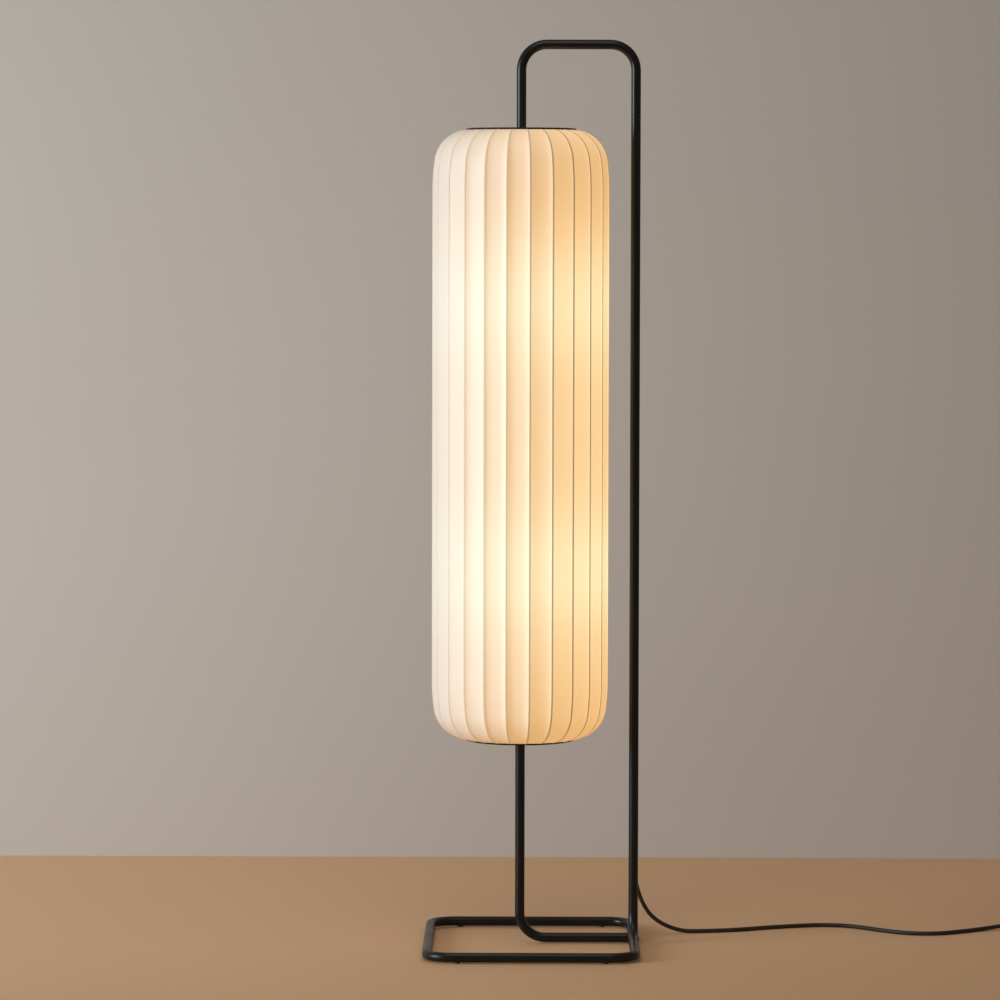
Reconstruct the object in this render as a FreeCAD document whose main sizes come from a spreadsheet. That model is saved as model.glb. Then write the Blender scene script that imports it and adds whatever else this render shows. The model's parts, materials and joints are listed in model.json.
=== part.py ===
import FreeCAD, Part
import math
import os

import Sketcher
from FreeCAD import Vector

# Silk floor lamp: a closed frame of bent steel tube that stands on a loop,
# with a tall ribbed silk shade turning on its stem, two bulbs, and a cord.
# Millimetres. The origin is on the floor under the middle of the base,
# X to the right, Y to the back, Z up.

os.makedirs("parts", exist_ok=True)
doc = FreeCAD.newDocument("SilkFloorLamp")

# Driving dimensions

SIZES = [
    # Frame of bent tube
    ("lamp_height", 1500, "floor to the top of the hanger"),
    ("tube_od", 16, "outside of the frame tube"),
    ("tube_wall", 1.5, "wall of the frame tube"),
    ("bend_radius", 42, "centre line of every bend"),
    ("base_width", 356, "outside of the base loop, left to right"),
    ("base_depth", 424, "outside of the base loop, front to back"),
    ("stem_offset", 189, "post axis to stem axis"),
    ("frame_setback", 20, "plane of post and stem behind the middle of the base"),
    ("foot_length", 18, "straight foot of the post, in front of its bend"),
    ("weld_gap", 0.05, "gap between welded tubes"),
    ("upper_joint", 60, "upper edge of the silk to the joint of hanger and stem"),
    ("lower_joint", 55, "lower edge of the silk to the joint of stem and return tube"),
    ("spigot_length", 60, "length of a spigot inside a tube joint"),
    ("spigot_bore", 7, "wire way through a spigot"),
    ("slip_gap", 0.08, "radial gap of a piece that slides on or in the tube"),
    ("screw_od", 4, "grub screw"),
    ("screw_gap", 0.1, "radial gap round a screw, pin or nipple"),
    ("screw_inset", 15, "screw to the end of the tube that it holds"),
    ("lead_hole", 6, "hole in the stem for a holder's lead"),
    # Glides under the base
    ("glide_height", 1.5, "floor to the underside of the base tube"),
    ("glide_od", 10, "foot of a glide"),
    ("glide_rim", 2.6, "height of a glide's rim beside the tube"),
    ("glide_pin", 5, "pin of a glide, in the base tube"),
    ("glide_reach", 6, "top of a glide's pin above the floor"),
    ("glide_inset", 58, "glide to the side of the base"),
    # Shade
    ("shade_drop", 149, "top of the hanger to the upper edge of the silk"),
    ("shade_height", 1008, "height of the silk"),
    ("shade_od", 293.6, "silk, across its ridges"),
    ("shoulder_radius", 57.4, "round of a shoulder"),
    ("lead_radius", 350, "slow curve before a shoulder"),
    ("lead_angle", 8, "turn of that slow curve, degrees"),
    ("rim_angle", 87, "slope of the silk at its edge, degrees from upright"),
    ("silk_thickness", 0.8, "silk on its lining"),
    ("panel_sag", 4, "how far a panel's middle lies inside its ridges"),
    ("rim_sag", 1.2, "the same at the open ends"),
    ("rib_count", 24, "ribs, and panels between them"),
    ("rib_turn", 6, "first rib, degrees round from the right"),
    ("rib_width", 2, "thickness of a rib strip"),
    ("rib_depth", 3, "depth of a rib strip"),
    ("rib_inset", 2.2, "silk ridge to the edge of its rib"),
    ("ring_wire", 5, "wire of an end ring"),
    ("ring_gap", 0.4, "silk edge to the end ring"),
    ("rib_tongue", 4.5, "straight end of a rib, under its ring"),
    ("hub_od", 26, "hubs, collars and clamp rings on the stem"),
    ("hub_height", 14, "height of a hub"),
    ("arm_width", 8, "width of a spider arm"),
    ("arm_height", 4, "thickness of a spider arm"),
    ("arm_count", 3, "arms of a spider"),
    ("collar_height", 10, "height of a collar or clamp ring"),
    ("seat_gap", 0.1, "gap between a hub and its collar"),
    # Lampholders and bulbs
    ("upper_holder", 350, "upper edge of the silk to the top of the upper bracket"),
    ("lower_holder", 198, "lower edge of the silk to the top of the lower bracket"),
    ("holder_offset", 65, "stem axis to bulb axis"),
    ("bracket_width", 18, "width of a bracket's arm"),
    ("bracket_thickness", 2.5, "thickness of a bracket's arm"),
    ("nipple_od", 10, "threaded nipple under a holder"),
    ("nipple_bore", 6, "wire way through a nipple"),
    ("nipple_drop", 8, "nipple below the top of its bracket"),
    ("nut_width", 14, "nipple nut across its flats"),
    ("nut_height", 4, "height of a nipple nut"),
    ("holder_od", 39, "outside of a lampholder"),
    ("holder_wall", 2, "wall of a lampholder's cup"),
    ("holder_foot", 20, "foot of a lampholder's cup"),
    ("holder_floor", 6, "floor of a lampholder's cup"),
    ("cup_height", 26, "height of a lampholder's cup"),
    ("skirt_height", 29, "height of a lampholder's skirt above its cup"),
    ("cap_od", 26.2, "screw cap of a bulb"),
    ("cap_length", 26, "length of a bulb's screw cap"),
    ("cap_gap", 0.3, "gap round a bulb's screw cap"),
    ("contact_height", 11, "height of the contact in a lampholder"),
    ("bulb_od", 60, "globe of a bulb"),
    ("bulb_length", 110, "length of a bulb"),
    ("globe_cover", 39.5, "height of the opal globe on a bulb"),
    ("lead_od", 4, "lead to a lampholder"),
    ("lead_bend", 20, "bend of a lead under its holder"),
    ("lead_drop", 34, "lead hole below the top of a bracket"),
    ("flex_od", 4.5, "flex inside the tube"),
    # Cord, foot switch and plug
    ("cord_od", 7, "cord"),
    ("cord_reach", 668, "gland to foot switch, to the right"),
    ("cord_swing", 133, "gland to foot switch, to the back"),
    ("cord_entry", 32, "straight cord before the foot switch"),
    ("gland_height", 125, "floor to the cord gland"),
    ("gland_od", 14, "gland against the post"),
    ("gland_neck", 9, "neck of the gland through the post's wall"),
    ("gland_tip", 9.2, "free end of the gland's sleeve"),
    ("gland_collar", 3, "collar of the gland, out from the post"),
    ("gland_sleeve", 26, "tapered sleeve of the gland"),
    ("switch_length", 70, "length of the foot switch's shells"),
    ("switch_width", 36, "width of the foot switch"),
    ("switch_base", 12, "height of the switch's lower shell"),
    ("switch_cover", 10, "height of the switch's upper shell"),
    ("switch_wall", 2.2, "wall of the switch's shells"),
    ("switch_round", 4, "rounding of the switch's upper edge"),
    ("switch_axis", 7, "floor to the cord's axis at the switch"),
    ("boot_length", 7, "boot at each end of the switch"),
    ("boot_od", 9.6, "boot of the switch"),
    ("button_od", 22, "switch button"),
    ("button_rise", 4, "button above the switch"),
    ("button_flange", 1.8, "flange that keeps the button in"),
    ("button_gap", 0.3, "gap round the button"),
    ("button_skirt", 3.5, "height of the button's flange"),
    ("contact_length", 30, "contact block in the switch"),
    ("contact_width", 20, "width of the contact block"),
    ("contact_block", 6, "height of the contact block"),
    ("spring_od", 13, "spring under the button"),
    ("spring_wire", 1, "wire of the spring"),
    ("spring_turns", 3, "turns of the spring"),
    ("coil_radius", 45, "outer turn of the cord's coil"),
    ("coil_pitch", 7.6, "step from turn to turn and from layer to layer"),
    ("coil_turns", 2, "turns in each of the coil's two layers"),
    ("tie_width", 10, "strap round the coil"),
    ("tie_thickness", 1.2, "thickness of the strap"),
    ("tie_gap", 0.7, "strap to the coil"),
    ("tie_round", 3, "rounding inside the strap"),
    ("plug_width", 34, "plug, at its face"),
    ("plug_tail", 14, "plug, at the cord's end"),
    ("plug_length", 36, "length of the plug's body"),
    ("plug_shoulder", 12, "straight part of the plug's side"),
    ("plug_thickness", 14, "thickness of the plug"),
    ("plug_round", 2, "rounding of the plug's edges"),
    ("relief_length", 22, "sleeve between plug and cord"),
    ("relief_od", 11.5, "thick end of that sleeve"),
    ("relief_tip", 9.2, "thin end of that sleeve"),
    ("pin_od", 4, "pin of the plug"),
    ("pin_length", 19, "length of a pin"),
    ("pin_spacing", 18.6, "distance between the pins"),
    ("pin_round", 1.2, "rounding of a pin's tip"),
    ("slide_radius", 60, "bend where the coil's ends change height"),
    ("lead_in", 15, "straight cord before the coil"),
    ("lead_out", 30, "straight cord after the coil"),
]

sheet = doc.addObject("Spreadsheet::Sheet", "Sizes")
for row, (alias, number, note) in enumerate(SIZES, start=1):
    sheet.set(f"A{row}", note)
    sheet.set(f"B{row}", str(number))
    sheet.setAlias(f"B{row}", alias)
doc.recompute()


def value(expression):
    """The number that an expression on the sheet comes to."""
    return float(sheet.evalExpression(expression))


# Places that several pieces share, as expressions on the sheet

RAIL_X = "(Sizes.base_width - Sizes.tube_od) / 2"
RAIL_Y = "(Sizes.base_depth - Sizes.tube_od) / 2"
RAIL_Z = "Sizes.glide_height + Sizes.tube_od / 2"
TOP_Z = "Sizes.lamp_height - Sizes.tube_od / 2"
STEM_X = f"{RAIL_X} - Sizes.stem_offset"
STEM_Y = "Sizes.frame_setback"
TUBE_R = "Sizes.tube_od / 2"
BORE_R = "(Sizes.tube_od / 2 - Sizes.tube_wall)"
SLIP_R = "(Sizes.tube_od / 2 + Sizes.slip_gap)"
COPE_R = "Sizes.tube_od / 2 + Sizes.weld_gap"
SCREW_HOLE_R = "Sizes.screw_od / 2 + Sizes.screw_gap"
SHADE_TOP = "(Sizes.lamp_height - Sizes.shade_drop)"
SHADE_BOTTOM = f"({SHADE_TOP} - Sizes.shade_height)"
UPPER_JOINT = f"({SHADE_TOP} - Sizes.upper_joint)"
LOWER_JOINT = f"({SHADE_BOTTOM} + Sizes.lower_joint)"
UPPER_HOLDER = f"({SHADE_TOP} - Sizes.upper_holder)"
LOWER_HOLDER = f"({SHADE_BOTTOM} + Sizes.lower_holder)"
BULB_X = f"{STEM_X} + Sizes.holder_offset"

pieces = []


# Drawing helpers

def add_piece(kind, label):
    """A document object that is one piece of the lamp, kept for the export."""
    piece = doc.addObject(kind, label)
    piece.Label = label
    pieces.append(piece)
    return piece


def new_body(label, x="0", y="0", z="0"):
    """A body whose origin stands at the place that three expressions give."""
    body = add_piece("PartDesign::Body", label)
    body.AllowCompound = True
    for axis, expression in zip("xyz", (x, y, z)):
        body.setExpression(f"Placement.Base.{axis}", expression)
    return body


def new_sketch(body, name, plane, offset="0"):
    """A sketch on one of the body's own planes, set off along the plane's normal."""
    sketch = body.newObject("Sketcher::SketchObject", f"{body.Name}_{name}")
    role = f"{plane}_Plane"
    support = next(f for f in body.Origin.OriginFeatures if f.Role == role)
    sketch.AttachmentSupport = (support, [""])
    sketch.MapMode = "FlatFace"
    sketch.setExpression("AttachmentOffset.Base.z", offset)
    return sketch


def constrain(sketch, expression, *terms):
    """A constraint whose value follows the sheet."""
    number = sketch.addConstraint(Sketcher.Constraint(*terms, value(expression)))
    sketch.setExpression(f"Constraints[{number}]", expression)


def draw_circle(sketch, x, y, radius):
    """A circle bound to the sheet by its centre and radius."""
    centre = Vector(value(x), value(y), 0)
    index = sketch.addGeometry(Part.Circle(centre, Vector(0, 0, 1), value(radius)))
    constrain(sketch, radius, "Radius", index)
    constrain(sketch, x, "DistanceX", -1, 1, index, 3)
    constrain(sketch, y, "DistanceY", -1, 1, index, 3)


def arc_between(start, end, radius, side):
    """An arc under half a circle; side is 1 to turn left and -1 to turn right."""
    chord = end - start
    reach = math.sqrt(max(radius**2 - (chord.Length / 2) ** 2, 0))
    across = Vector(-chord.y, chord.x, 0).normalize()
    centre = (start + end) / 2 + across * (side * reach)
    ends = (start, end) if side > 0 else (end, start)
    angles = [math.atan2(p.y - centre.y, p.x - centre.x) for p in ends]
    return Part.ArcOfCircle(Part.Circle(centre, Vector(0, 0, 1), radius), *angles)


def draw_outline(sketch, corners, closed=True):
    """Lines and arcs through corners, each bound to the sheet.

    A corner is (x, y), or (x, y, radius, side) where an arc ends there.
    """
    spots = [Vector(value(c[0]), value(c[1]), 0) for c in corners]
    count = len(corners) if closed else len(corners) - 1
    drawn = []
    for i in range(count):
        j = (i + 1) % len(corners)
        if len(corners[j]) > 2:
            radius, side = corners[j][2:]
            arc = arc_between(spots[i], spots[j], value(radius), side)
            index = sketch.addGeometry(arc)
            constrain(sketch, radius, "Radius", index)
            drawn.append((index, 1, 2) if side > 0 else (index, 2, 1))
        else:
            index = sketch.addGeometry(Part.LineSegment(spots[i], spots[j]))
            drawn.append((index, 1, 2))
    for k, (index, first, last) in enumerate(drawn):
        constrain(sketch, corners[k][0], "DistanceX", -1, 1, index, first)
        constrain(sketch, corners[k][1], "DistanceY", -1, 1, index, first)
        following = drawn[(k + 1) % len(drawn)]
        if closed or k + 1 < len(drawn):
            joint = ("Coincident", index, last, following[0], following[1])
            sketch.addConstraint(Sketcher.Constraint(*joint))
    if not closed:
        index, _, last = drawn[-1]
        constrain(sketch, corners[-1][0], "DistanceX", -1, 1, index, last)
        constrain(sketch, corners[-1][1], "DistanceY", -1, 1, index, last)


def feature(body, kind, name, sketch, **settings):
    """A sketch-based feature, with its settings made before the recompute."""
    made = body.newObject(f"PartDesign::{kind}", f"{body.Name}_{name}")
    made.Profile = sketch
    for key, setting in settings.items():
        setattr(made, key, setting)
    return made


def pad(body, name, sketch, length, **settings):
    """A pad whose length follows the sheet."""
    made = feature(body, "Pad", name, sketch, **settings)
    made.setExpression("Length", length)
    doc.recompute()


def pocket(body, name, sketch, length=None, **settings):
    """A pocket, through everything unless it has a length, that has to cut something."""
    before = body.Shape.Volume
    if length is None:
        settings["Type"] = "ThroughAll"
    made = feature(body, "Pocket", name, sketch, **settings)
    if length is not None:
        made.setExpression("Length", length)
    doc.recompute()
    if body.Shape.Volume >= before - 1e-6:
        raise RuntimeError(f"{made.Name} cuts nothing")


def fillet(body, name, radius, wanted):
    """A rounding of the edges of the body that a test picks out."""
    tip = body.Tip
    chosen = [f"Edge{k}" for k, edge in enumerate(tip.Shape.Edges, start=1) if wanted(edge)]
    made = body.newObject("PartDesign::Fillet", f"{body.Name}_{name}")
    made.Base = (tip, chosen)
    made.setExpression("Radius", radius)
    doc.recompute()


def lies_at(axis, place):
    """A test for edges that lie whole in the plane at a place along an axis."""
    return lambda edge: all(abs(getattr(v.Point, axis) - place) < 1e-6 for v in edge.Vertexes)


def revolve(body, name, corners, plane="XZ", axis="V_Axis"):
    """A closed outline turned round an axis of its sketch."""
    sketch = new_sketch(body, f"{name}_outline", plane)
    draw_outline(sketch, corners)
    made = feature(body, "Revolution", name, sketch, ReferenceAxis=(sketch, [axis]))
    made.Angle = 360
    doc.recompute()


def sweep_tube(
    body, path, ring, centre, outer, inner=None, path_offset="0", ring_offset="0", name="tube", cut=False
):
    """A round tube along a flat path of lines and arcs, added to the body or cut from it.

    path is (plane, corners), ring the plane of the tube's section at the path's start.
    """
    spine = new_sketch(body, f"{name}_path", path[0], path_offset)
    draw_outline(spine, path[1], closed=False)
    section = new_sketch(body, f"{name}_section", ring, ring_offset)
    draw_circle(section, *centre, outer)
    if inner:
        draw_circle(section, *centre, inner)
    doc.recompute()
    before = body.Shape.Volume if cut else 0
    made = feature(body, "SubtractivePipe" if cut else "AdditivePipe", name, section)
    made.Spine = (spine, [])
    doc.recompute()
    if cut and body.Shape.Volume >= before - 1e-6:
        raise RuntimeError(f"{made.Name} cuts nothing")


def place_feature(label, shape):
    """A piece whose shape is worked out here from the sheet."""
    piece = add_piece("Part::Feature", label)
    piece.Shape = shape
    return piece


# Base loop, bent from one tube: butted on the post's foot and coped on the back of its bend

FOOT_END = f"({STEM_Y} - Sizes.bend_radius - Sizes.foot_length)"


def foot_bend(post_y):
    """The bend at the foot of the post, from the post forward to the floor, in a YZ plane."""
    bend = "Sizes.bend_radius"
    return [(post_y, f"{RAIL_Z} + {bend}"), (f"{post_y} - {bend}", RAIL_Z, bend, -1)]


def base_loop():
    body = new_body("base_loop")
    front, back = f"-({RAIL_Y})", RAIL_Y
    left = f"-({RAIL_X})"
    bend = "Sizes.bend_radius"
    start = f"{FOOT_END} - Sizes.weld_gap"
    path = [
        (RAIL_X, start),
        (RAIL_X, f"{front} + {bend}"),
        (f"{RAIL_X} - {bend}", front, bend, -1),
        (f"{left} + {bend}", front),
        (left, f"{front} + {bend}", bend, -1),
        (left, f"{back} - {bend}"),
        (f"{left} + {bend}", back, bend, -1),
        (f"{RAIL_X} - {bend}", back),
        (RAIL_X, f"{back} - {bend}", bend, -1),
        (RAIL_X, f"{STEM_Y} - {bend} / 2"),
    ]
    sweep_tube(
        body, ("XY", path), "XZ", (RAIL_X, RAIL_Z), TUBE_R, BORE_R,
        path_offset=RAIL_Z, ring_offset=f"-({start})",
    )
    sweep_tube(
        body, ("YZ", foot_bend(STEM_Y)), "XY", (RAIL_X, STEM_Y), COPE_R,
        path_offset=RAIL_X, ring_offset=f"{RAIL_Z} + {bend}", name="cope", cut=True,
    )
    holes = new_sketch(body, "glide_holes", "XY")
    for x, y in glide_places():
        draw_circle(holes, x, y, "Sizes.glide_pin / 2 + Sizes.screw_gap")
    pocket(body, "glide_pockets", holes, RAIL_Z, Reversed=True)


def glide_places():
    """Where the four glides stand, under the front and back rails."""
    side = "Sizes.base_width / 2 - Sizes.glide_inset"
    return [(f"{a} * ({side})", f"{b} * {RAIL_Y}") for a in (-1, 1) for b in (-1, 1)]


def base_glides():
    """Four feet with a flat sole, a saddle that fits the tube and a pin in it."""
    body = new_body("base_glides")
    soles = new_sketch(body, "soles", "XY")
    for x, y in glide_places():
        draw_circle(soles, x, y, "Sizes.glide_od / 2")
    pad(body, "feet", soles, "Sizes.glide_rim")
    rails = new_sketch(body, "rails", "YZ")
    for side in (-1, 1):
        draw_circle(rails, f"{side} * {RAIL_Y}", RAIL_Z, COPE_R)
    pocket(body, "saddles", rails, SideType="Symmetric")
    pins = new_sketch(body, "pins", "XY", "Sizes.glide_height / 2")
    for x, y in glide_places():
        draw_circle(pins, x, y, "Sizes.glide_pin / 2")
    pad(body, "pegs", pins, "Sizes.glide_reach - Sizes.glide_height / 2")


# Foot, post, top bar and hanger, bent from one tube

def post_hanger_tube():
    body = new_body("post_hanger_tube", y=STEM_Y)
    bend = "Sizes.bend_radius"
    foot = f"{RAIL_Z} + {bend}"
    path = [
        (RAIL_X, foot),
        (RAIL_X, f"{TOP_Z} - {bend}"),
        (f"{RAIL_X} - {bend}", TOP_Z, bend, 1),
        (f"{STEM_X} + {bend}", TOP_Z),
        (STEM_X, f"{TOP_Z} - {bend}", bend, 1),
        (STEM_X, UPPER_JOINT),
    ]
    sweep_tube(
        body, ("XZ", path), "XY", (RAIL_X, "0"), TUBE_R, BORE_R, ring_offset=foot
    )
    forward = foot_bend("0") + [(f"-({bend} + Sizes.foot_length)", RAIL_Z)]
    sweep_tube(
        body, ("YZ", forward), "XY", (RAIL_X, "0"), TUBE_R, BORE_R,
        path_offset=RAIL_X, ring_offset=foot, name="foot",
    )
    entry = new_sketch(body, "cord_entry", "XZ")
    draw_circle(entry, RAIL_X, "Sizes.gland_height", "Sizes.gland_neck / 2 + Sizes.screw_gap")
    pocket(body, "cord_hole", entry, "Sizes.tube_od")
    screw = new_sketch(body, "screw_hole", "YZ", STEM_X)
    draw_circle(screw, "0", f"{UPPER_JOINT} + Sizes.screw_inset", SCREW_HOLE_R)
    pocket(body, "screw_pocket", screw, "Sizes.tube_od")


# Return tube along the floor and up to the shade, coped on the rail beside the post

def lower_stem_tube():
    body = new_body("lower_stem_tube", y=STEM_Y)
    bend = "Sizes.bend_radius"
    path = [
        (RAIL_X, RAIL_Z),
        (f"{STEM_X} + {bend}", RAIL_Z),
        (STEM_X, f"{RAIL_Z} + {bend}", bend, -1),
        (STEM_X, LOWER_JOINT),
    ]
    sweep_tube(
        body, ("XZ", path), "YZ", ("0", RAIL_Z), TUBE_R, BORE_R, ring_offset=RAIL_X
    )
    rail = new_sketch(body, "rail", "XZ")
    draw_circle(rail, RAIL_X, RAIL_Z, COPE_R)
    pocket(body, "rail_cope", rail, SideType="Symmetric")
    screw = new_sketch(body, "screw_hole", "YZ", STEM_X)
    draw_circle(screw, "0", f"{LOWER_JOINT} - Sizes.screw_inset", SCREW_HOLE_R)
    pocket(body, "screw_pocket", screw, "Sizes.tube_od")


# Straight stem inside the shade, with its joints

def stem_tube():
    body = new_body("stem_tube", STEM_X, STEM_Y)
    ring = new_sketch(body, "ring", "XY", LOWER_JOINT)
    draw_circle(ring, "0", "0", TUBE_R)
    draw_circle(ring, "0", "0", BORE_R)
    pad(body, "tube", ring, f"{UPPER_JOINT} - {LOWER_JOINT}")
    screws = new_sketch(body, "screw_holes", "YZ")
    draw_circle(screws, "0", f"{UPPER_JOINT} - Sizes.screw_inset", SCREW_HOLE_R)
    draw_circle(screws, "0", f"{LOWER_JOINT} + Sizes.screw_inset", SCREW_HOLE_R)
    pocket(body, "screw_pockets", screws, "Sizes.tube_od")
    leads = new_sketch(body, "lead_holes", "YZ")
    for bracket in (UPPER_HOLDER, LOWER_HOLDER):
        draw_circle(leads, "0", f"{bracket} - Sizes.lead_drop", "Sizes.lead_hole / 2")
    pocket(body, "lead_pockets", leads, "Sizes.tube_od", Reversed=True)


def spigot(label, joint):
    """A bored plug that lines up two tubes at a joint."""
    body = new_body(label, STEM_X, STEM_Y, joint)
    ring = new_sketch(body, "ring", "XY")
    draw_circle(ring, "0", "0", f"{BORE_R} - Sizes.slip_gap")
    draw_circle(ring, "0", "0", "Sizes.spigot_bore / 2")
    pad(body, "tube", ring, "Sizes.spigot_length", SideType="Symmetric")
    screws = new_sketch(body, "screw_holes", "YZ")
    for side in (-1, 1):
        draw_circle(screws, "0", f"{side} * Sizes.screw_inset", SCREW_HOLE_R)
    pocket(body, "screw_pockets", screws, "Sizes.tube_od")


def grub_screws(label, heights, start, length):
    """Grub screws in the stem's left side, from start outwards."""
    body = new_body(label, STEM_X, STEM_Y)
    ends = new_sketch(body, "ends", "YZ", f"-({start})")
    for height in heights:
        draw_circle(ends, "0", height, "Sizes.screw_od / 2")
    pad(body, "shanks", ends, length, Reversed=True)


def stem_ring(label, base):
    """A collar on the stem, held by a grub screw in its left side."""
    body = new_body(label, STEM_X, STEM_Y, base)
    ring = new_sketch(body, "ring", "XY")
    draw_circle(ring, "0", "0", "Sizes.hub_od / 2")
    draw_circle(ring, "0", "0", SLIP_R)
    pad(body, "collar", ring, "Sizes.collar_height")
    screw_hole(body, "Sizes.collar_height / 2")


def screw_hole(body, height):
    """A radial hole for a grub screw in the left side of a ring on the stem."""
    screw = new_sketch(body, "screw_hole", "YZ")
    draw_circle(screw, "0", height, SCREW_HOLE_R)
    pocket(body, "screw_pocket", screw, "Sizes.hub_od")


# Shade: silk over rib strips, between two end rings on spiders

LEAD_COS = "cos(Sizes.lead_angle * 1 deg)"
LEAD_SIN = "sin(Sizes.lead_angle * 1 deg)"
RIM_COS = "cos(Sizes.rim_angle * 1 deg)"
RIM_SIN = "sin(Sizes.rim_angle * 1 deg)"
RIDGE_R = "Sizes.shade_od / 2"
LEAD_R = "Sizes.lead_radius"
SHOULDER = f"Sizes.shoulder_radius * ({LEAD_COS} - {RIM_COS})"
MOUTH_R = f"({RIDGE_R} - {LEAD_R} * (1 - {LEAD_COS}) - {SHOULDER})"
CORNER = f"({LEAD_R} * {LEAD_SIN} + Sizes.shoulder_radius * ({RIM_SIN} - {LEAD_SIN}))"
RIB_TIP = f"(Sizes.rib_inset * {RIM_SIN})"
RING_R = f"({MOUTH_R} - Sizes.silk_thickness - Sizes.ring_gap - Sizes.ring_wire / 2)"
# A ring lies on the tongues of the ribs, which slope up to the stem.
TONGUE_RISE = f"({MOUTH_R} - Sizes.rib_inset * {RIM_COS} - {RING_R}) * {RIM_COS} / {RIM_SIN}"
RING_RISE = f"(Sizes.ring_wire / 2 / {RIM_SIN} - {RIB_TIP} + {TONGUE_RISE} + Sizes.slip_gap)"


def shade_end(top):
    """(edge height, outward direction) of one end of the silk."""
    return (SHADE_TOP, 1) if top else (SHADE_BOTTOM, -1)


def ring_height(top):
    """Height of an end ring's axis."""
    edge, outward = shade_end(top)
    return f"({edge} + {outward} * {RING_RISE})"


def rib_side(inset):
    """One long edge of a rib, from the lower tip to the upper one, inset from the ridge."""
    low, high = SHADE_BOTTOM, SHADE_TOP
    lead, round_ = f"({LEAD_R} - {inset})", f"(Sizes.shoulder_radius - {inset})"
    bend_r = f"{RIDGE_R} - {LEAD_R} + {lead} * {LEAD_COS}"
    tip_r = f"{MOUTH_R} - {inset} * {RIM_COS}"
    slow = f"({CORNER} - {lead} * {LEAD_SIN})"
    tip = f"({inset} * {RIM_SIN})"
    end_r = f"{tip_r} - Sizes.rib_tongue * {RIM_SIN}"
    end = f"({tip} - Sizes.rib_tongue * {RIM_COS})"
    return [
        (end_r, f"{low} + {end}"),
        (tip_r, f"{low} + {tip}"),
        (bend_r, f"{low} + {slow}", round_, 1),
        (f"{RIDGE_R} - {inset}", f"{low} + {CORNER}", lead, 1),
        (f"{RIDGE_R} - {inset}", f"{high} - {CORNER}"),
        (bend_r, f"{high} - {slow}", lead, 1),
        (tip_r, f"{high} - {tip}", round_, 1),
        (end_r, f"{high} - {end}"),
    ]


def reversed_side(corners):
    """The same edge run the other way, with its arcs turned round."""
    turned = []
    for k in range(len(corners) - 1, -1, -1):
        arc = corners[k + 1][2:] if k + 1 < len(corners) else ()
        turned.append(corners[k][:2] + ((arc[0], -arc[1]) if arc else ()))
    return turned


def shade_ribs():
    """Flat strips on edge, bent to the outline of the shade and set round it."""
    body = new_body("shade_ribs", STEM_X, STEM_Y)
    body.setExpression("Placement.Rotation.Angle", "Sizes.rib_turn * 1 deg")
    strip = new_sketch(body, "strip", "XZ")
    outer = rib_side("Sizes.rib_inset")
    inner = rib_side("(Sizes.rib_inset + Sizes.rib_depth)")
    draw_outline(strip, outer + reversed_side(inner))
    pad(body, "rib", strip, "Sizes.rib_width", SideType="Symmetric")
    pattern = body.newObject("PartDesign::PolarPattern", "shade_ribs_round")
    pattern.Originals = [body.Tip]
    axis = next(f for f in body.Origin.OriginFeatures if f.Role == "Z_Axis")
    pattern.Axis = (axis, [""])
    pattern.Angle = 360
    pattern.setExpression("Occurrences", "Sizes.rib_count")
    body.Tip = pattern
    doc.recompute()


def end_ring(label, top):
    """A wire ring that lies on the tips of the ribs."""
    ring = add_piece("Part::Torus", label)
    ring.setExpression("Radius1", RING_R)
    ring.setExpression("Radius2", "Sizes.ring_wire / 2")
    ring.setExpression("Placement.Base.x", STEM_X)
    ring.setExpression("Placement.Base.y", STEM_Y)
    ring.setExpression("Placement.Base.z", ring_height(top))


def hub_seat(top):
    """Height of the face of a hub that its collar holds, inside the shade."""
    outward = shade_end(top)[1]
    return f"({ring_height(top)} + {outward} * (Sizes.arm_height / 2 - Sizes.hub_height))"


def spider(label, top):
    """A hub that turns on the stem, with arms out to the end ring."""
    body = new_body(label, STEM_X, STEM_Y, ring_height(top))
    arm = new_sketch(body, "arm", "YZ", f"{SLIP_R} + Sizes.tube_wall")
    half = "Sizes.arm_width / 2"
    rise = "Sizes.arm_height / 2"
    low, high = [(f"-{half}", f"-{rise}"), (half, f"-{rise}")], [(half, rise), (f"-{half}", rise)]
    draw_outline(arm, low + high)
    reach = f"{RING_R} - Sizes.ring_wire / 2 - Sizes.slip_gap - {SLIP_R} - Sizes.tube_wall"
    pad(body, "bar", arm, reach)
    pattern = body.newObject("PartDesign::PolarPattern", f"{label}_arms")
    pattern.Originals = [body.Tip]
    axis = next(f for f in body.Origin.OriginFeatures if f.Role == "Z_Axis")
    pattern.Axis = (axis, [""])
    pattern.Angle = 360
    pattern.setExpression("Occurrences", "Sizes.arm_count")
    body.Tip = pattern
    doc.recompute()
    outward = shade_end(top)[1]
    hub = new_sketch(body, "hub", "XY", f"{outward} * Sizes.arm_height / 2")
    draw_circle(hub, "0", "0", "Sizes.hub_od / 2")
    pad(body, "boss", hub, "Sizes.hub_height", Reversed=top)
    bore = new_sketch(body, "bore", "XY")
    draw_circle(bore, "0", "0", SLIP_R)
    pocket(body, "bore_pocket", bore, SideType="Symmetric")


SHOULDER_STEPS = 4


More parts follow.
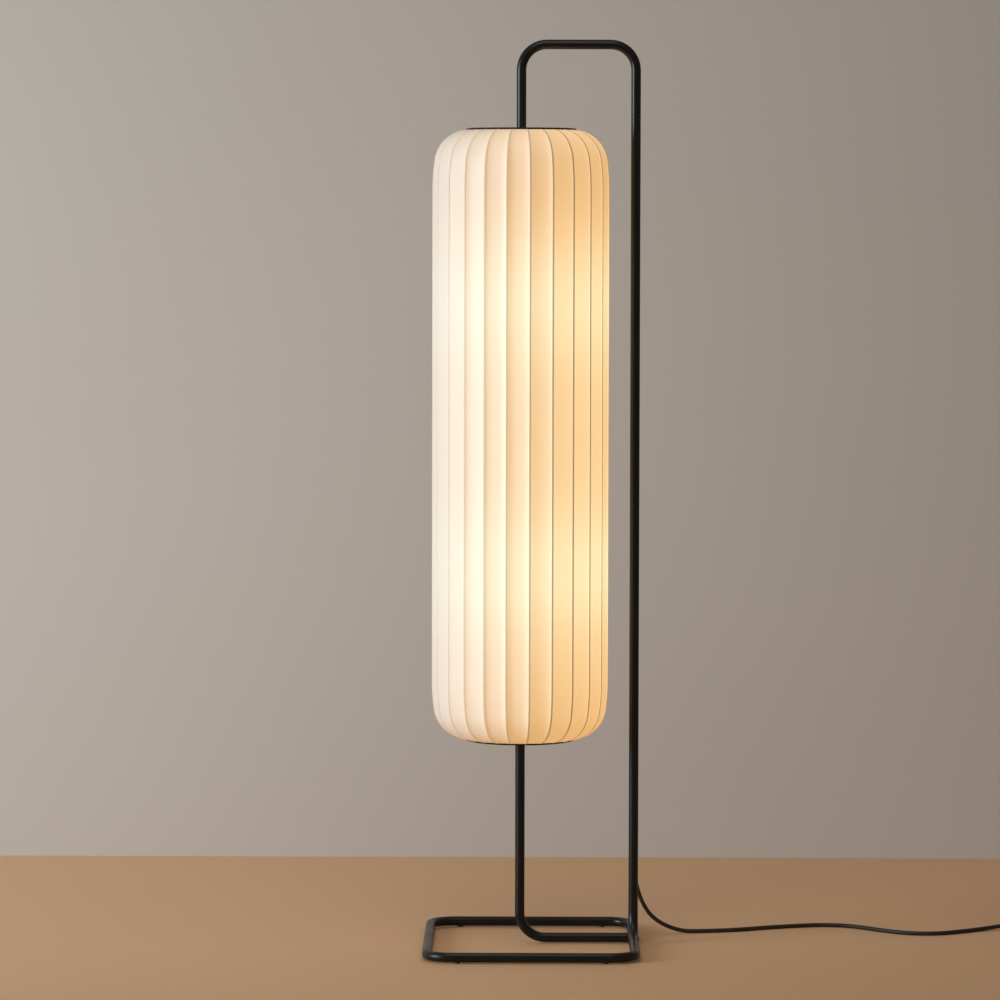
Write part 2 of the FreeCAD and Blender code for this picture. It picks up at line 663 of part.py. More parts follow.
def shade_profile(inset):
    """(radius, height, sag) up one side of the silk, inset from its outer face.

    Radius follows the straight side, a slow lead curve and a round shoulder.
    """
    lead = value(LEAD_R)
    round_ = value("Sizes.shoulder_radius")
    first, last = value("Sizes.lead_angle"), value("Sizes.rim_angle")
    side, corner = value(RIDGE_R), value(CORNER)
    full, rim = value("Sizes.panel_sag"), value("Sizes.rim_sag")
    half = value("Sizes.shade_height") / 2
    middle = value(SHADE_BOTTOM) + half
    turns = [first + (last - first) * k / SHOULDER_STEPS for k in range(SHOULDER_STEPS + 1)]
    rise = []
    for angle in [0.0] + turns:
        c, s = math.cos(math.radians(angle)), math.sin(math.radians(angle))
        c0, s0 = math.cos(math.radians(first)), math.sin(math.radians(first))
        if angle <= first:
            radius, height = side - lead * (1 - c), lead * s
        else:
            radius = side - lead * (1 - c0) - round_ * (c0 - c)
            height = lead * s0 + round_ * (s - s0)
        share = height / corner
        sag = full + (rim - full) * share**2
        rise.append((radius - inset * c, half - corner + height - inset * s, sag))
    lower = [(r, middle - h, sag) for r, h, sag in reversed(rise)]
    return lower + [(r, middle + h, sag) for r, h, sag in rise]


def silk_section(radius, height, sag):
    """A closed outline of inward arcs, one for each panel between two ridges."""
    count = int(value("Sizes.rib_count"))
    centre = Vector(value(STEM_X), value(STEM_Y), height)
    step = math.pi / count
    turn = math.radians(value("Sizes.rib_turn"))

    def spot(number, reach):
        angle = turn + step * (number - 1)
        return centre + Vector(math.cos(angle), math.sin(angle), 0) * reach

    arcs = []
    for k in range(count):
        start, end = spot(2 * k - 1, radius), spot(2 * k + 1, radius)
        arcs.append(Part.Arc(start, spot(2 * k, radius - sag), end).toShape())
    return Part.Wire(arcs)


def silk_cover():
    """One stretched skin with an inward panel between each pair of ribs, open at both ends."""
    outer = [silk_section(*level) for level in shade_profile(0)]
    inner = [silk_section(*level) for level in shade_profile(value("Sizes.silk_thickness"))]
    faces = []
    for low, high in zip(outer, outer[1:]):
        faces += Part.makeLoft([low, high], False, True).Faces
    for low, high in zip(inner, inner[1:]):
        faces += Part.makeLoft([low, high], False, True).Faces
    for out_edge, in_edge in ((outer[0], inner[0]), (outer[-1], inner[-1])):
        faces += Part.makeLoft([out_edge, in_edge], False, True).Faces
    shell = Part.makeShell(faces)
    shell.sewShape()
    solid = Part.Solid(shell.Shells[0] if shell.ShapeType != "Shell" else shell)
    if solid.Volume < 0:
        solid.reverse()
    place_feature("silk_cover", solid)


# Lampholders and bulbs, on brackets to the right of the stem

CUP_R = "Sizes.holder_od / 2"
CUP_BORE = f"({CUP_R} - Sizes.holder_wall)"
CAP_BORE = "(Sizes.cap_od / 2 + Sizes.cap_gap)"
CUP_SLOPE = "(Sizes.holder_floor + Sizes.holder_wall * 2)"
CONTACT_TOP = "(Sizes.holder_floor + Sizes.contact_height)"
CAP_TOP = f"({CONTACT_TOP} + Sizes.cap_gap + Sizes.cap_length)"
BULB_TOP = f"({CONTACT_TOP} + Sizes.cap_gap + Sizes.bulb_length)"
GLOBE_BASE = f"({BULB_TOP} - Sizes.globe_cover)"
SKIRT_TOP = "(Sizes.cup_height + Sizes.skirt_height)"
GLOBE_R = "Sizes.bulb_od / 2"
GLOBE_MIDDLE = f"({BULB_TOP} - {GLOBE_R})"
GLOBE_FOOT = f"sqrt(({GLOBE_R})^2 - ({GLOBE_MIDDLE} - {GLOBE_BASE})^2)"


def holder_bracket(label, height):
    """A clamp ring on the stem with an arm out to the lampholder."""
    body = new_body(label, STEM_X, STEM_Y, height)
    ring = new_sketch(body, "ring", "XY")
    draw_circle(ring, "0", "0", "Sizes.hub_od / 2")
    draw_circle(ring, "0", "0", SLIP_R)
    pad(body, "clamp", ring, "Sizes.collar_height", Reversed=True)
    arm = new_sketch(body, "arm", "XY")
    half, root = "Sizes.bracket_width / 2", f"({SLIP_R} + Sizes.tube_wall)"
    reach = "Sizes.holder_offset"
    tip = [
        (root, f"-{half}"),
        (reach, f"-{half}"),
        (f"{reach} + {half}", "0", half, 1),
        (reach, half, half, 1),
        (root, half),
    ]
    draw_outline(arm, tip)
    pad(body, "plate", arm, "Sizes.bracket_thickness", Reversed=True)
    hole = new_sketch(body, "nipple_hole", "XY")
    draw_circle(hole, reach, "0", "Sizes.nipple_od / 2 + Sizes.screw_gap")
    pocket(body, "nipple_pocket", hole, "Sizes.collar_height")
    screw_hole(body, "-Sizes.collar_height / 2")


def on_bulb_axis(label, height):
    """A body on a bulb's axis, with its origin on top of the bracket."""
    return new_body(label, BULB_X, STEM_Y, height)


def holder_nipple(label, height):
    body = on_bulb_axis(label, height)
    ring = new_sketch(body, "ring", "XY", "-Sizes.nipple_drop")
    draw_circle(ring, "0", "0", "Sizes.nipple_od / 2")
    draw_circle(ring, "0", "0", "Sizes.nipple_bore / 2")
    pad(body, "tube", ring, "Sizes.nipple_drop + Sizes.holder_floor")


def nipple_nut(label, height):
    body = on_bulb_axis(label, height)
    hexagon = new_sketch(body, "hexagon", "XY", "-Sizes.bracket_thickness")
    corner = "Sizes.nut_width / sqrt(3)"
    turns = [f"{60 * k} deg" for k in range(6)]
    draw_outline(hexagon, [(f"{corner} * cos({t})", f"{corner} * sin({t})") for t in turns])
    draw_circle(hexagon, "0", "0", "Sizes.nipple_od / 2 + Sizes.screw_gap")
    pad(body, "nut", hexagon, "Sizes.nut_height", Reversed=True)


def holder_cup(label, height):
    """The lower half of a lampholder: a cup with a thick floor for the nipple."""
    neck = "Sizes.nipple_od / 2 + Sizes.screw_gap"
    outline = [
        (neck, "0"),
        ("Sizes.holder_foot / 2", "0"),
        (CUP_R, CUP_SLOPE),
        (CUP_R, "Sizes.cup_height"),
        (CUP_BORE, "Sizes.cup_height"),
        (CUP_BORE, f"{CUP_SLOPE} + Sizes.holder_wall"),
        (f"{CAP_BORE}", "Sizes.holder_floor"),
        (neck, "Sizes.holder_floor"),
    ]
    revolve(on_bulb_axis(label, height), "cup", outline)


def holder_skirt(label, height):
    """The upper half of a lampholder, whose barrel reaches down into the cup."""
    barrel = f"{CUP_BORE} - Sizes.cap_gap"
    low = f"{CUP_SLOPE} + Sizes.holder_wall"
    outline = [
        (CAP_BORE, low),
        (barrel, low),
        (barrel, "Sizes.cup_height"),
        (CUP_R, "Sizes.cup_height"),
        (CUP_R, f"{SKIRT_TOP} - Sizes.holder_wall"),
        (f"{CUP_R} - Sizes.holder_wall", SKIRT_TOP),
        (CAP_BORE, SKIRT_TOP),
    ]
    revolve(on_bulb_axis(label, height), "skirt", outline)


def holder_contact(label, height):
    """The insulating block on the cup's floor, with the centre contact on it."""
    block = "Sizes.holder_floor + Sizes.contact_height / 2"
    edge = f"{CAP_BORE} - 2 * Sizes.cap_gap"
    outline = [
        ("0", "Sizes.holder_floor"),
        (edge, "Sizes.holder_floor"),
        (edge, block),
        ("Sizes.nipple_bore / 2", block),
        ("Sizes.nipple_bore / 2", CONTACT_TOP),
        ("0", CONTACT_TOP),
    ]
    revolve(on_bulb_axis(label, height), "contact", outline)


def bulb_cap(label, height):
    """The screw cap of a bulb, narrowing to its tip."""
    tip = f"{CONTACT_TOP} + Sizes.cap_gap"
    outline = [
        ("0", tip),
        ("Sizes.nipple_bore / 2", tip),
        ("Sizes.cap_od / 2", f"{tip} + Sizes.holder_wall * 2"),
        ("Sizes.cap_od / 2", CAP_TOP),
        ("0", CAP_TOP),
    ]
    revolve(on_bulb_axis(label, height), "cap", outline)


def bulb_housing(label, height):
    """The neck of a bulb, straight in the holder and flared up to the globe."""
    neck = "Sizes.cap_od / 2"
    outline = [
        ("0", CAP_TOP),
        (neck, CAP_TOP),
        (neck, f"{SKIRT_TOP} + Sizes.cap_gap"),
        (GLOBE_FOOT, GLOBE_BASE, "Sizes.bulb_od * 2", -1),
        ("0", GLOBE_BASE),
    ]
    revolve(on_bulb_axis(label, height), "housing", outline)


def bulb_globe(label, height):
    """The opal dome of a bulb: two arcs of its circle, met at its widest."""
    outline = [
        ("0", GLOBE_BASE),
        (GLOBE_FOOT, GLOBE_BASE),
        (GLOBE_R, GLOBE_MIDDLE, GLOBE_R, 1),
        ("0", BULB_TOP, GLOBE_R, 1),
    ]
    revolve(on_bulb_axis(label, height), "globe", outline)


def holder_lead(label, height):
    """The lead from the stem to a lampholder, up through its nipple."""
    body = new_body(label, STEM_X, STEM_Y, height)
    start = "Sizes.flex_od / 2 + Sizes.ring_gap"
    reach, bend = "Sizes.holder_offset", "Sizes.lead_bend"
    path = [
        (start, "-Sizes.lead_drop"),
        (f"{reach} - {bend}", "-Sizes.lead_drop"),
        (reach, f"{bend} - Sizes.lead_drop", bend, 1),
        (reach, "Sizes.holder_floor"),
    ]
    centre = ("0", "-Sizes.lead_drop")
    sweep_tube(body, ("XZ", path), "YZ", centre, "Sizes.lead_od / 2", ring_offset=start)


# Wires: paths of straight runs and tangent arcs

def pipe(path, radius):
    """A round solid along a smooth path, with its volume compared."""
    start = path.Edges[0]
    at, along = start.valueAt(start.FirstParameter), start.tangentAt(start.FirstParameter)
    maker = Part.BRepOffsetAPI.MakePipeShell(path)
    maker.add(Part.Wire(Part.makeCircle(radius, at, along)))
    maker.build()
    maker.makeSolid()
    solid = maker.shape()
    expected = math.pi * radius**2 * path.Length
    if abs(solid.Volume - expected) > 0.01 * expected:
        raise RuntimeError(f"pipe volume {solid.Volume:.1f}, expected {expected:.1f}")
    return solid


def rounded_path(points, name):
    """Straight runs through points with an arc at each corner, as large as its runs allow."""
    edges, radii, here = [], [], points[0]
    for before, corner, after in zip(points, points[1:], points[2:]):
        back, ahead = before - corner, after - corner
        half_turn = (math.pi - back.getAngle(ahead)) / 2
        cut = 0.45 * min(back.Length, ahead.Length)
        radius = cut / math.tan(half_turn)
        radii.append(radius)
        back.normalize()
        ahead.normalize()
        start, end = corner + back * cut, corner + ahead * cut
        inward = (back + ahead).normalize()
        middle = corner + inward * (radius / math.cos(half_turn) - radius)
        edges.append(Part.makeLine(here, start))
        edges.append(Part.Arc(start, middle, end).toShape())
        here = end
    edges.append(Part.makeLine(here, points[-1]))
    print(name, "bend radii:", ", ".join(f"{r:.0f}" for r in radii))
    return Part.Wire(edges)


def quarter(start, corner, end):
    """A quarter turn between two points, tangent to the lines that meet at corner."""
    centre = start + end - corner
    middle = centre + (corner - centre).normalize() * (start - centre).Length
    return Part.Arc(start, middle, end).toShape()


def half_turn(start, across, along, rise):
    """Half a turn from start towards along, ending at start + across, higher by rise."""
    end = start + across + Vector(0, 0, rise)
    reach = along * ((end - start).Length / 2)
    middle = (start + end) / 2 + reach
    return [quarter(start, start + reach, middle), quarter(middle, end + reach, end)], end


def slide_down(start, along, drop, radius):
    """A gentle S from start to a level lower by drop: two equal arcs."""
    angle = math.acos(1 - abs(drop) / (2 * radius))
    down = Vector(0, 0, -math.copysign(1, drop))
    half_along, half_down = radius * math.sin(angle), radius * (1 - math.cos(angle))
    middle = start + along * half_along + down * half_down
    end = middle + along * half_along + down * half_down
    bulge = radius * (1 - math.cos(angle / 2))
    sway = radius * math.sin(angle / 2)
    first = start + along * sway + down * bulge
    last = end - along * sway - down * bulge
    arcs = [Part.Arc(start, first, middle).toShape(), Part.Arc(middle, last, end).toShape()]
    return arcs, end


def inner_flex():
    """The flex inside the tube, from the gland up the post and down the stem."""
    post, stem = value(RAIL_X), value(STEM_X)
    plane, gland = value(STEM_Y), value("Sizes.gland_height")
    turn = value(BORE_R) - value("Sizes.flex_od") / 2
    bend, top = value("Sizes.bend_radius"), value(TOP_Z)
    foot = value(f"{LOWER_HOLDER} - Sizes.lead_drop - Sizes.lead_hole")
    start = Vector(post, plane + turn, gland)
    up = Vector(post, plane, gland + turn)
    crown = [
        Vector(post, plane, top - bend),
        Vector(post - bend, plane, top),
        Vector(stem + bend, plane, top),
        Vector(stem, plane, top - bend),
    ]
    edges = [
        quarter(start, Vector(post, plane, gland), up),
        Part.makeLine(up, crown[0]),
        quarter(crown[0], Vector(post, plane, top), crown[1]),
        Part.makeLine(crown[1], crown[2]),
        quarter(crown[2], Vector(stem, plane, top), crown[3]),
        Part.makeLine(crown[3], Vector(stem, plane, foot)),
    ]
    place_feature("inner_flex", pipe(Part.Wire(edges), value("Sizes.flex_od") / 2))


# Cord with its gland, foot switch, coil and plug

GLAND_FACE = f"({TUBE_R} + Sizes.gland_collar)"
GLAND_END = f"({GLAND_FACE} + Sizes.gland_sleeve)"


def cord_gland():
    """A bush through the post's wall, with a tapered sleeve round the cord."""
    body = new_body("cord_gland", RAIL_X, STEM_Y, "Sizes.gland_height")
    sleeve = [
        (BORE_R, "0"),
        (BORE_R, "Sizes.gland_od / 2"),
        (GLAND_FACE, "Sizes.gland_od / 2"),
        (GLAND_END, "Sizes.gland_tip / 2"),
        (GLAND_END, "0"),
    ]
    revolve(body, "sleeve", sleeve, "YZ", "H_Axis")
    post = new_sketch(body, "post", "XY")
    draw_circle(post, "0", "0", COPE_R)
    pocket(body, "saddle", post, SideType="Symmetric")
    inside = f"{BORE_R} - Sizes.tube_wall"
    neck = [
        (inside, "0"),
        (inside, "Sizes.gland_neck / 2"),
        (GLAND_FACE, "Sizes.gland_neck / 2"),
        (GLAND_FACE, "0"),
    ]
    revolve(body, "neck", neck, "YZ", "H_Axis")


SWITCH_X = f"({RAIL_X} + Sizes.cord_reach)"
SWITCH_Y = f"({STEM_Y} + {GLAND_END} + Sizes.cord_swing)"
CORD_R = value("Sizes.cord_od") / 2
CORD_START = Vector(value(RAIL_X), value(f"{STEM_Y} + {GLAND_END}"), value("Sizes.gland_height"))
SWITCH_START = Vector(value(SWITCH_X), value(SWITCH_Y), value("Sizes.switch_axis"))
SWITCH_SPAN = value("Sizes.switch_length + 2 * Sizes.boot_length")

# Turning points of the cord after the gland: shares of the way to the switch to the
# right, millimetres to the back, and shares of the gland's height above the floor.
CORD_TURNS = [
    (0.000, 34, 1.000),
    (0.006, 60, 0.800),
    (0.020, 65, 0.470),
    (0.053, 69, 0.175),
    (0.120, 75, 0.000),
    (0.186, 80, 0.000),
    (0.262, 92, 0.000),
    (0.344, 122, 0.000),
    (0.428, 145, 0.000),
    (0.499, 156, 0.000),
    (0.566, 142, 0.000),
    (0.621, 101, 0.000),
    (0.692, 61, 0.000),
    (0.766, 55, 0.000),
    (0.834, 83, 0.000),
    (0.898, 116, 0.000),
]


def cord_route():
    """The turning points of the cord between the gland and the foot switch."""
    across, fall = value("Sizes.cord_reach"), CORD_START.z - CORD_R
    start = Vector(CORD_START.x, CORD_START.y, CORD_R)
    turns = [start + Vector(across * x, y, fall * z) for x, y, z in CORD_TURNS]
    entry = SWITCH_START - Vector(value("Sizes.cord_entry"), 0, 0)
    return [CORD_START] + turns + [entry, SWITCH_START]


def cord_run():
    """The cord from the gland down to the floor and along it to the foot switch."""
    path = rounded_path(cord_route(), "cord_run")
    print("cord_run length:", round(path.Length))
    place_feature("cord_run", pipe(path, CORD_R))


def least_gap(path, diameter):
    """The least clear distance between turns of a coiled path."""
    spots = path.discretize(Distance=diameter / 3)
    skip = 9
    least = math.inf
    for i, spot in enumerate(spots):
        for other in spots[i + skip:]:
            least = min(least, spot.distanceToPoint(other))
    return least - diameter


def coil_path():
    """(edges, centre, end) of the coil: in along the floor, up a layer, and out again."""
    along, across = Vector(1, 0, 0), Vector(0, -1, 0)
    pitch, radius = value("Sizes.coil_pitch"), value("Sizes.coil_radius")
    slide = value("Sizes.slide_radius")
    level = value("Sizes.tie_thickness + Sizes.tie_gap") + CORD_R
    start = SWITCH_START + along * SWITCH_SPAN
    here = start + along * (2 * CORD_R)
    edges = [Part.makeLine(start, here)]
    arcs, slid = slide_down(here, along, here.z - level, slide)
    entry = slid + along * value("Sizes.lead_in")
    edges += arcs + [Part.makeLine(slid, entry)]
    halves = 2 * int(value("Sizes.coil_turns"))
    radii = [radius - pitch / 2 * k for k in range(halves + 1)]
    radii += radii[-2::-1]
    here, side = entry, 1
    for k, turn in enumerate(radii):
        rise = pitch if k == halves else 0
        arcs, here = half_turn(here, across * (2 * turn * side), along * side, rise)
        edges += arcs
        side = -side
    out = here + along * (side * value("Sizes.lead_out"))
    edges.append(Part.makeLine(here, out))
    drop = here.z - value("Sizes.plug_thickness / 2")
    arcs, slid = slide_down(out, along * side, drop, slide)
    end = slid + along * (side * 2 * CORD_R)
    edges += arcs + [Part.makeLine(slid, end)]
    return edges, entry + across * radius, end


COIL_EDGES, COIL_CENTRE, PLUG_END = coil_path()


def cord_coil():
    """The cord from the switch, wound into two layers, and on to the plug."""
    path = Part.Wire(COIL_EDGES)
    print("cord_coil length:", round(path.Length))
    print("cord_coil least gap:", round(least_gap(path, 2 * CORD_R), 2))
    place_feature("cord_coil", pipe(path, CORD_R))


def rounded_box(low, width, height, radius):
    """Corners of a rounded rectangle, centred across and standing at low."""
    half, high = f"({width}) / 2", f"{low} + {height}"
    return [
        (f"{radius} - {half}", low, radius, 1),
        (f"{half} - {radius}", low),
        (half, f"{low} + {radius}", radius, 1),
        (half, f"{high} - {radius}"),
        (f"{half} - {radius}", high, radius, 1),
        (f"{radius} - {half}", high),
        (f"-{half}", f"{high} - {radius}", radius, 1),
        (f"-{half}", f"{low} + {radius}"),
    ]


def coil_tie():
    """A strap round the left side of the coil, where two turns lie on two."""
    # The inmost turn curves away to the middle of the coil within the strap's width.
    inmost = "(Sizes.coil_radius - 1.5 * Sizes.coil_pitch - Sizes.cord_od / 2)"
    reach = "((Sizes.tie_width + Sizes.coil_pitch) / 2)"
    slack = f"({inmost} - sqrt({inmost} ^ 2 - {reach} ^ 2))"
    middle = COIL_CENTRE.x - value(f"Sizes.coil_radius - Sizes.coil_pitch - {slack} / 2")
    body = new_body("coil_tie", str(middle), str(COIL_CENTRE.y))
    band = new_sketch(body, "band", "XZ")
    tall = "Sizes.cord_od + Sizes.coil_pitch + 2 * Sizes.tie_gap"
    wide = f"{tall} + {slack}"
    around = "2 * Sizes.tie_thickness"
    outer = "(Sizes.tie_round + Sizes.tie_thickness)"
    draw_outline(band, rounded_box("0", f"{wide} + {around}", f"{tall} + {around}", outer))
    draw_outline(band, rounded_box("Sizes.tie_thickness", wide, tall, "Sizes.tie_round"))
    pad(body, "strap", band, "Sizes.tie_width", SideType="Symmetric")


SWITCH_TOP = "(Sizes.switch_base + Sizes.switch_cover)"
SWITCH_MIDDLE = "(Sizes.boot_length + Sizes.switch_length / 2)"
FLANGE_TOP = f"({SWITCH_TOP} - Sizes.switch_wall - Sizes.button_gap)"
FLANGE_BASE = f"({FLANGE_TOP} - Sizes.button_skirt)"
CONTACTS_TOP = "(Sizes.switch_wall + Sizes.contact_block)"


def stadium(inset):
    """Corners of the switch's outline, inset from its outside."""
    radius = f"(Sizes.switch_width / 2 - {inset})"
    low = "(Sizes.boot_length + Sizes.switch_width / 2)"
    high = "(Sizes.boot_length + Sizes.switch_length - Sizes.switch_width / 2)"
    return [
        (low, f"-{radius}", radius, 1),
        (high, f"-{radius}"),
        (f"{high} + {radius}", "0", radius, 1),
        (high, radius, radius, 1),
        (low, radius),
        (f"{low} - {radius}", "0", radius, 1),
    ]


def switch_lower_shell():
    """The lower shell of the foot switch, with a boot for the cord at each end."""
    body = new_body("switch_lower_shell", SWITCH_X, SWITCH_Y)
    plan = new_sketch(body, "plan", "XY")
    draw_outline(plan, stadium("0"))
    pad(body, "block", plan, "Sizes.switch_base")
    inlet = new_sketch(body, "inlet", "YZ")
    draw_circle(inlet, "0", "Sizes.switch_axis", "Sizes.boot_od / 2")
    boot = "Sizes.boot_length + Sizes.switch_wall"
    pad(body, "inlet_boot", inlet, boot)
    outlet = new_sketch(body, "outlet", "YZ", "Sizes.switch_length + 2 * Sizes.boot_length")
    draw_circle(outlet, "0", "Sizes.switch_axis", "Sizes.boot_od / 2")
    pad(body, "outlet_boot", outlet, boot, Reversed=True)
    inside = new_sketch(body, "inside", "XY", "Sizes.switch_wall")
    draw_outline(inside, stadium("Sizes.switch_wall"))
    pocket(body, "hollow", inside, "Sizes.switch_base", Reversed=True)


def switch_upper_shell():
    """The upper shell of the foot switch, with the hole for its button."""
    body = new_body("switch_upper_shell", SWITCH_X, SWITCH_Y)
    plan = new_sketch(body, "plan", "XY", "Sizes.switch_base")
    draw_outline(plan, stadium("0"))
    pad(body, "block", plan, "Sizes.switch_cover")
    fillet(body, "edge", "Sizes.switch_round", lies_at("z", value(SWITCH_TOP)))
    inside = new_sketch(body, "inside", "XY", "Sizes.switch_base")
    draw_outline(inside, stadium("Sizes.switch_wall"))
    pocket(body, "hollow", inside, "Sizes.switch_cover - Sizes.switch_wall", Reversed=True)
    hole = new_sketch(body, "hole", "XY", SWITCH_TOP)
    draw_circle(hole, SWITCH_MIDDLE, "0", "Sizes.button_od / 2 + Sizes.button_gap")
    pocket(body, "button_hole", hole)


def switch_contacts():
    """The contact block on the floor of the foot switch."""
    body = new_body("switch_contacts", SWITCH_X, SWITCH_Y)
    plan = new_sketch(body, "plan", "XY", "Sizes.switch_wall")
    half, side = "Sizes.contact_length / 2", "Sizes.contact_width / 2"
    left, right = f"{SWITCH_MIDDLE} - {half}", f"{SWITCH_MIDDLE} + {half}"
    near = [(left, f"-{side}"), (right, f"-{side}")]
    draw_outline(plan, near + [(right, side), (left, side)])
    pad(body, "block", plan, "Sizes.contact_block")


def switch_spring():
    """The spring between the contact block and the button."""
    wire = value("Sizes.spring_wire")
    radius = (value("Sizes.spring_od") - wire) / 2
    low, high = value(CONTACTS_TOP) + wire / 2, value(FLANGE_BASE) - wire / 2
    middle = Vector(value(f"{SWITCH_X} + {SWITCH_MIDDLE}"), value(SWITCH_Y), low)
    halves = 2 * int(value("Sizes.spring_turns"))
    here, side, edges = middle + Vector(0, radius, 0), 1, []
    for _ in range(halves):
        across = Vector(0, -2 * radius * side, 0)
        arcs, here = half_turn(here, across, Vector(side, 0, 0), (high - low) / halves)
        edges += arcs
        side = -side
    place_feature("switch_spring", pipe(Part.Wire(edges), wire / 2))


def switch_button():
    """The button of the foot switch, kept in by its flange."""
    body = new_body("switch_button", f"{SWITCH_X} + {SWITCH_MIDDLE}", SWITCH_Y)
    radius, crown = "Sizes.button_od / 2", f"{SWITCH_TOP} + Sizes.button_rise"
    flange = f"{radius} + Sizes.button_flange"
    edge = "Sizes.button_rise / 4"
    outline = [
        ("0", FLANGE_BASE),
        (flange, FLANGE_BASE),
        (flange, FLANGE_TOP),
        (radius, FLANGE_TOP),
        (radius, f"{crown} - {edge}"),
        (f"{radius} - {edge}", crown, edge, 1),
        ("0", crown),
    ]
    revolve(body, "button", outline)


def at_plug(label):
    """A body on the plug, with its origin in the middle of the plug's face."""
    span = value("Sizes.plug_length + Sizes.relief_length")
    return new_body(label, str(PLUG_END.x - span), str(PLUG_END.y), str(PLUG_END.z))


def plug_body():
    """A flat two-pin plug with a sleeve round the cord."""
    body = at_plug("plug_body")
    plan = new_sketch(body, "plan", "XY")
    face, tail = "Sizes.plug_width / 2", "Sizes.plug_tail / 2"
    outline = [
        ("0", f"-{face}"),
        ("Sizes.plug_shoulder", f"-{face}"),
        ("Sizes.plug_length", f"-{tail}"),
        ("Sizes.plug_length", tail),
        ("Sizes.plug_shoulder", face),
        ("0", face),
    ]
    draw_outline(plan, outline)
    pad(body, "block", plan, "Sizes.plug_thickness", SideType="Symmetric")
    half = value("Sizes.plug_thickness / 2")
    above, below = lies_at("z", half), lies_at("z", -half)
    fillet(body, "edges", "Sizes.plug_round", lambda edge: above(edge) or below(edge))
    sleeve = [
        ("Sizes.plug_shoulder", "0"),
        ("Sizes.plug_shoulder", "Sizes.relief_od / 2"),
        ("Sizes.plug_length", "Sizes.relief_od / 2"),
        ("Sizes.plug_length + Sizes.relief_length", "Sizes.relief_tip / 2"),
        ("Sizes.plug_length + Sizes.relief_length", "0"),
    ]
    revolve(body, "sleeve", sleeve, "XZ", "H_Axis")


def plug_pins():
    """The two round pins of the plug."""
    body = at_plug("plug_pins")
    feet = new_sketch(body, "feet", "YZ")
    for side in (-1, 1):
        draw_circle(feet, f"{side} * Sizes.pin_spacing / 2", "0", "Sizes.pin_od / 2")
    pad(body, "pins", feet, "Sizes.pin_length", Reversed=True)
    fillet(body, "tips", "Sizes.pin_round", lies_at("x", -value("Sizes.pin_length")))


# Every piece in turn, then a test of each and its file

def build_frame():
    base_loop()
    base_glides()
    post_hanger_tube()
    lower_stem_tube()
    stem_tube()
    spigot("upper_spigot", UPPER_JOINT)
    spigot("lower_spigot", LOWER_JOINT)
    wall = "Sizes.spigot_bore / 2 + Sizes.weld_gap"
    joints = (UPPER_JOINT, LOWER_JOINT)
    heights = [f"{joint} + {side} * Sizes.screw_inset" for joint in joints for side in (-1, 1)]
    grub_screws("spigot_screws", heights, wall, f"{TUBE_R} - ({wall})")


def build_shade():
    collar, gap = "Sizes.collar_height", "Sizes.seat_gap"
    top_base = f"{hub_seat(True)} - {gap} - {collar}"
    bottom_base = f"{hub_seat(False)} + {gap}"
    stem_ring("top_collar", top_base)
    stem_ring("bottom_collar", bottom_base)
    bases = [top_base, bottom_base]
    bases += [f"{holder} - {collar}" for holder in (UPPER_HOLDER, LOWER_HOLDER)]
    heights = [f"{base} + {collar} / 2" for base in bases]
    shank = "Sizes.hub_od / 2 - Sizes.tube_od / 2"
    grub_screws("collar_screws", heights, COPE_R, shank)
    shade_ribs()
    silk_cover()
    for end, top in (("top", True), ("bottom", False)):
        end_ring(f"{end}_ring", top)
        spider(f"{end}_spider", top)


def build_lights():
    for level, height in (("upper", UPPER_HOLDER), ("lower", LOWER_HOLDER)):
        holder_bracket(f"{level}_bracket", height)
        holder_nipple(f"{level}_nipple", height)
        nipple_nut(f"{level}_nut", height)
        holder_cup(f"{level}_holder_cup", height)
        holder_skirt(f"{level}_holder_skirt", height)
        holder_contact(f"{level}_holder_contact", height)
        bulb_cap(f"{level}_bulb_cap", height)
        bulb_housing(f"{level}_bulb_housing", height)
        bulb_globe(f"{level}_bulb_globe", height)
        holder_lead(f"{level}_holder_lead", height)
    inner_flex()


def build_cord():
    cord_gland()
    cord_run()
    cord_coil()
    coil_tie()
    switch_lower_shell()
    switch_upper_shell()
    switch_contacts()
    switch_spring()
    switch_button()
    plug_body()
    plug_pins()


def write_pieces():
    """Stop on a piece that failed, and write the others as files."""
    doc.recompute()
    for item in doc.Objects:
        if "Invalid" in item.State or "Error" in item.State:
            raise RuntimeError(f"{item.Name} failed: {item.State}")
    for piece in pieces:
        shape = piece.Shape
        if shape.isNull() or not shape.isValid() or not shape.Solids:
            raise RuntimeError(f"{piece.Label} has no valid solid")
        shape.exportStep(f"parts/{piece.Label}.step")
        box = shape.optimalBoundingBox(False)
        low = f"{box.XMin:.1f} {box.YMin:.1f} {box.ZMin:.1f}"
        high = f"{box.XMax:.1f} {box.YMax:.1f} {box.ZMax:.1f}"
        print(f"{piece.Label}: {len(shape.Solids)} solids, {shape.Volume:.0f} mm3, {low} to {high}")


build_frame()
build_shade()
build_lights()
build_cord()
write_pieces()
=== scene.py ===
"""Looks of a silk floor lamp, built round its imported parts.

Blender works in metres. The sizes in the classes are millimetres, in the row frame:
origin on the floor under the middle of the base, X right, Y to the back, Z up.
"""

from __future__ import annotations

import json
import logging
import math
from dataclasses import dataclass
from enum import Enum

import bpy
import numpy as np
from mathutils import Euler, Matrix, Vector

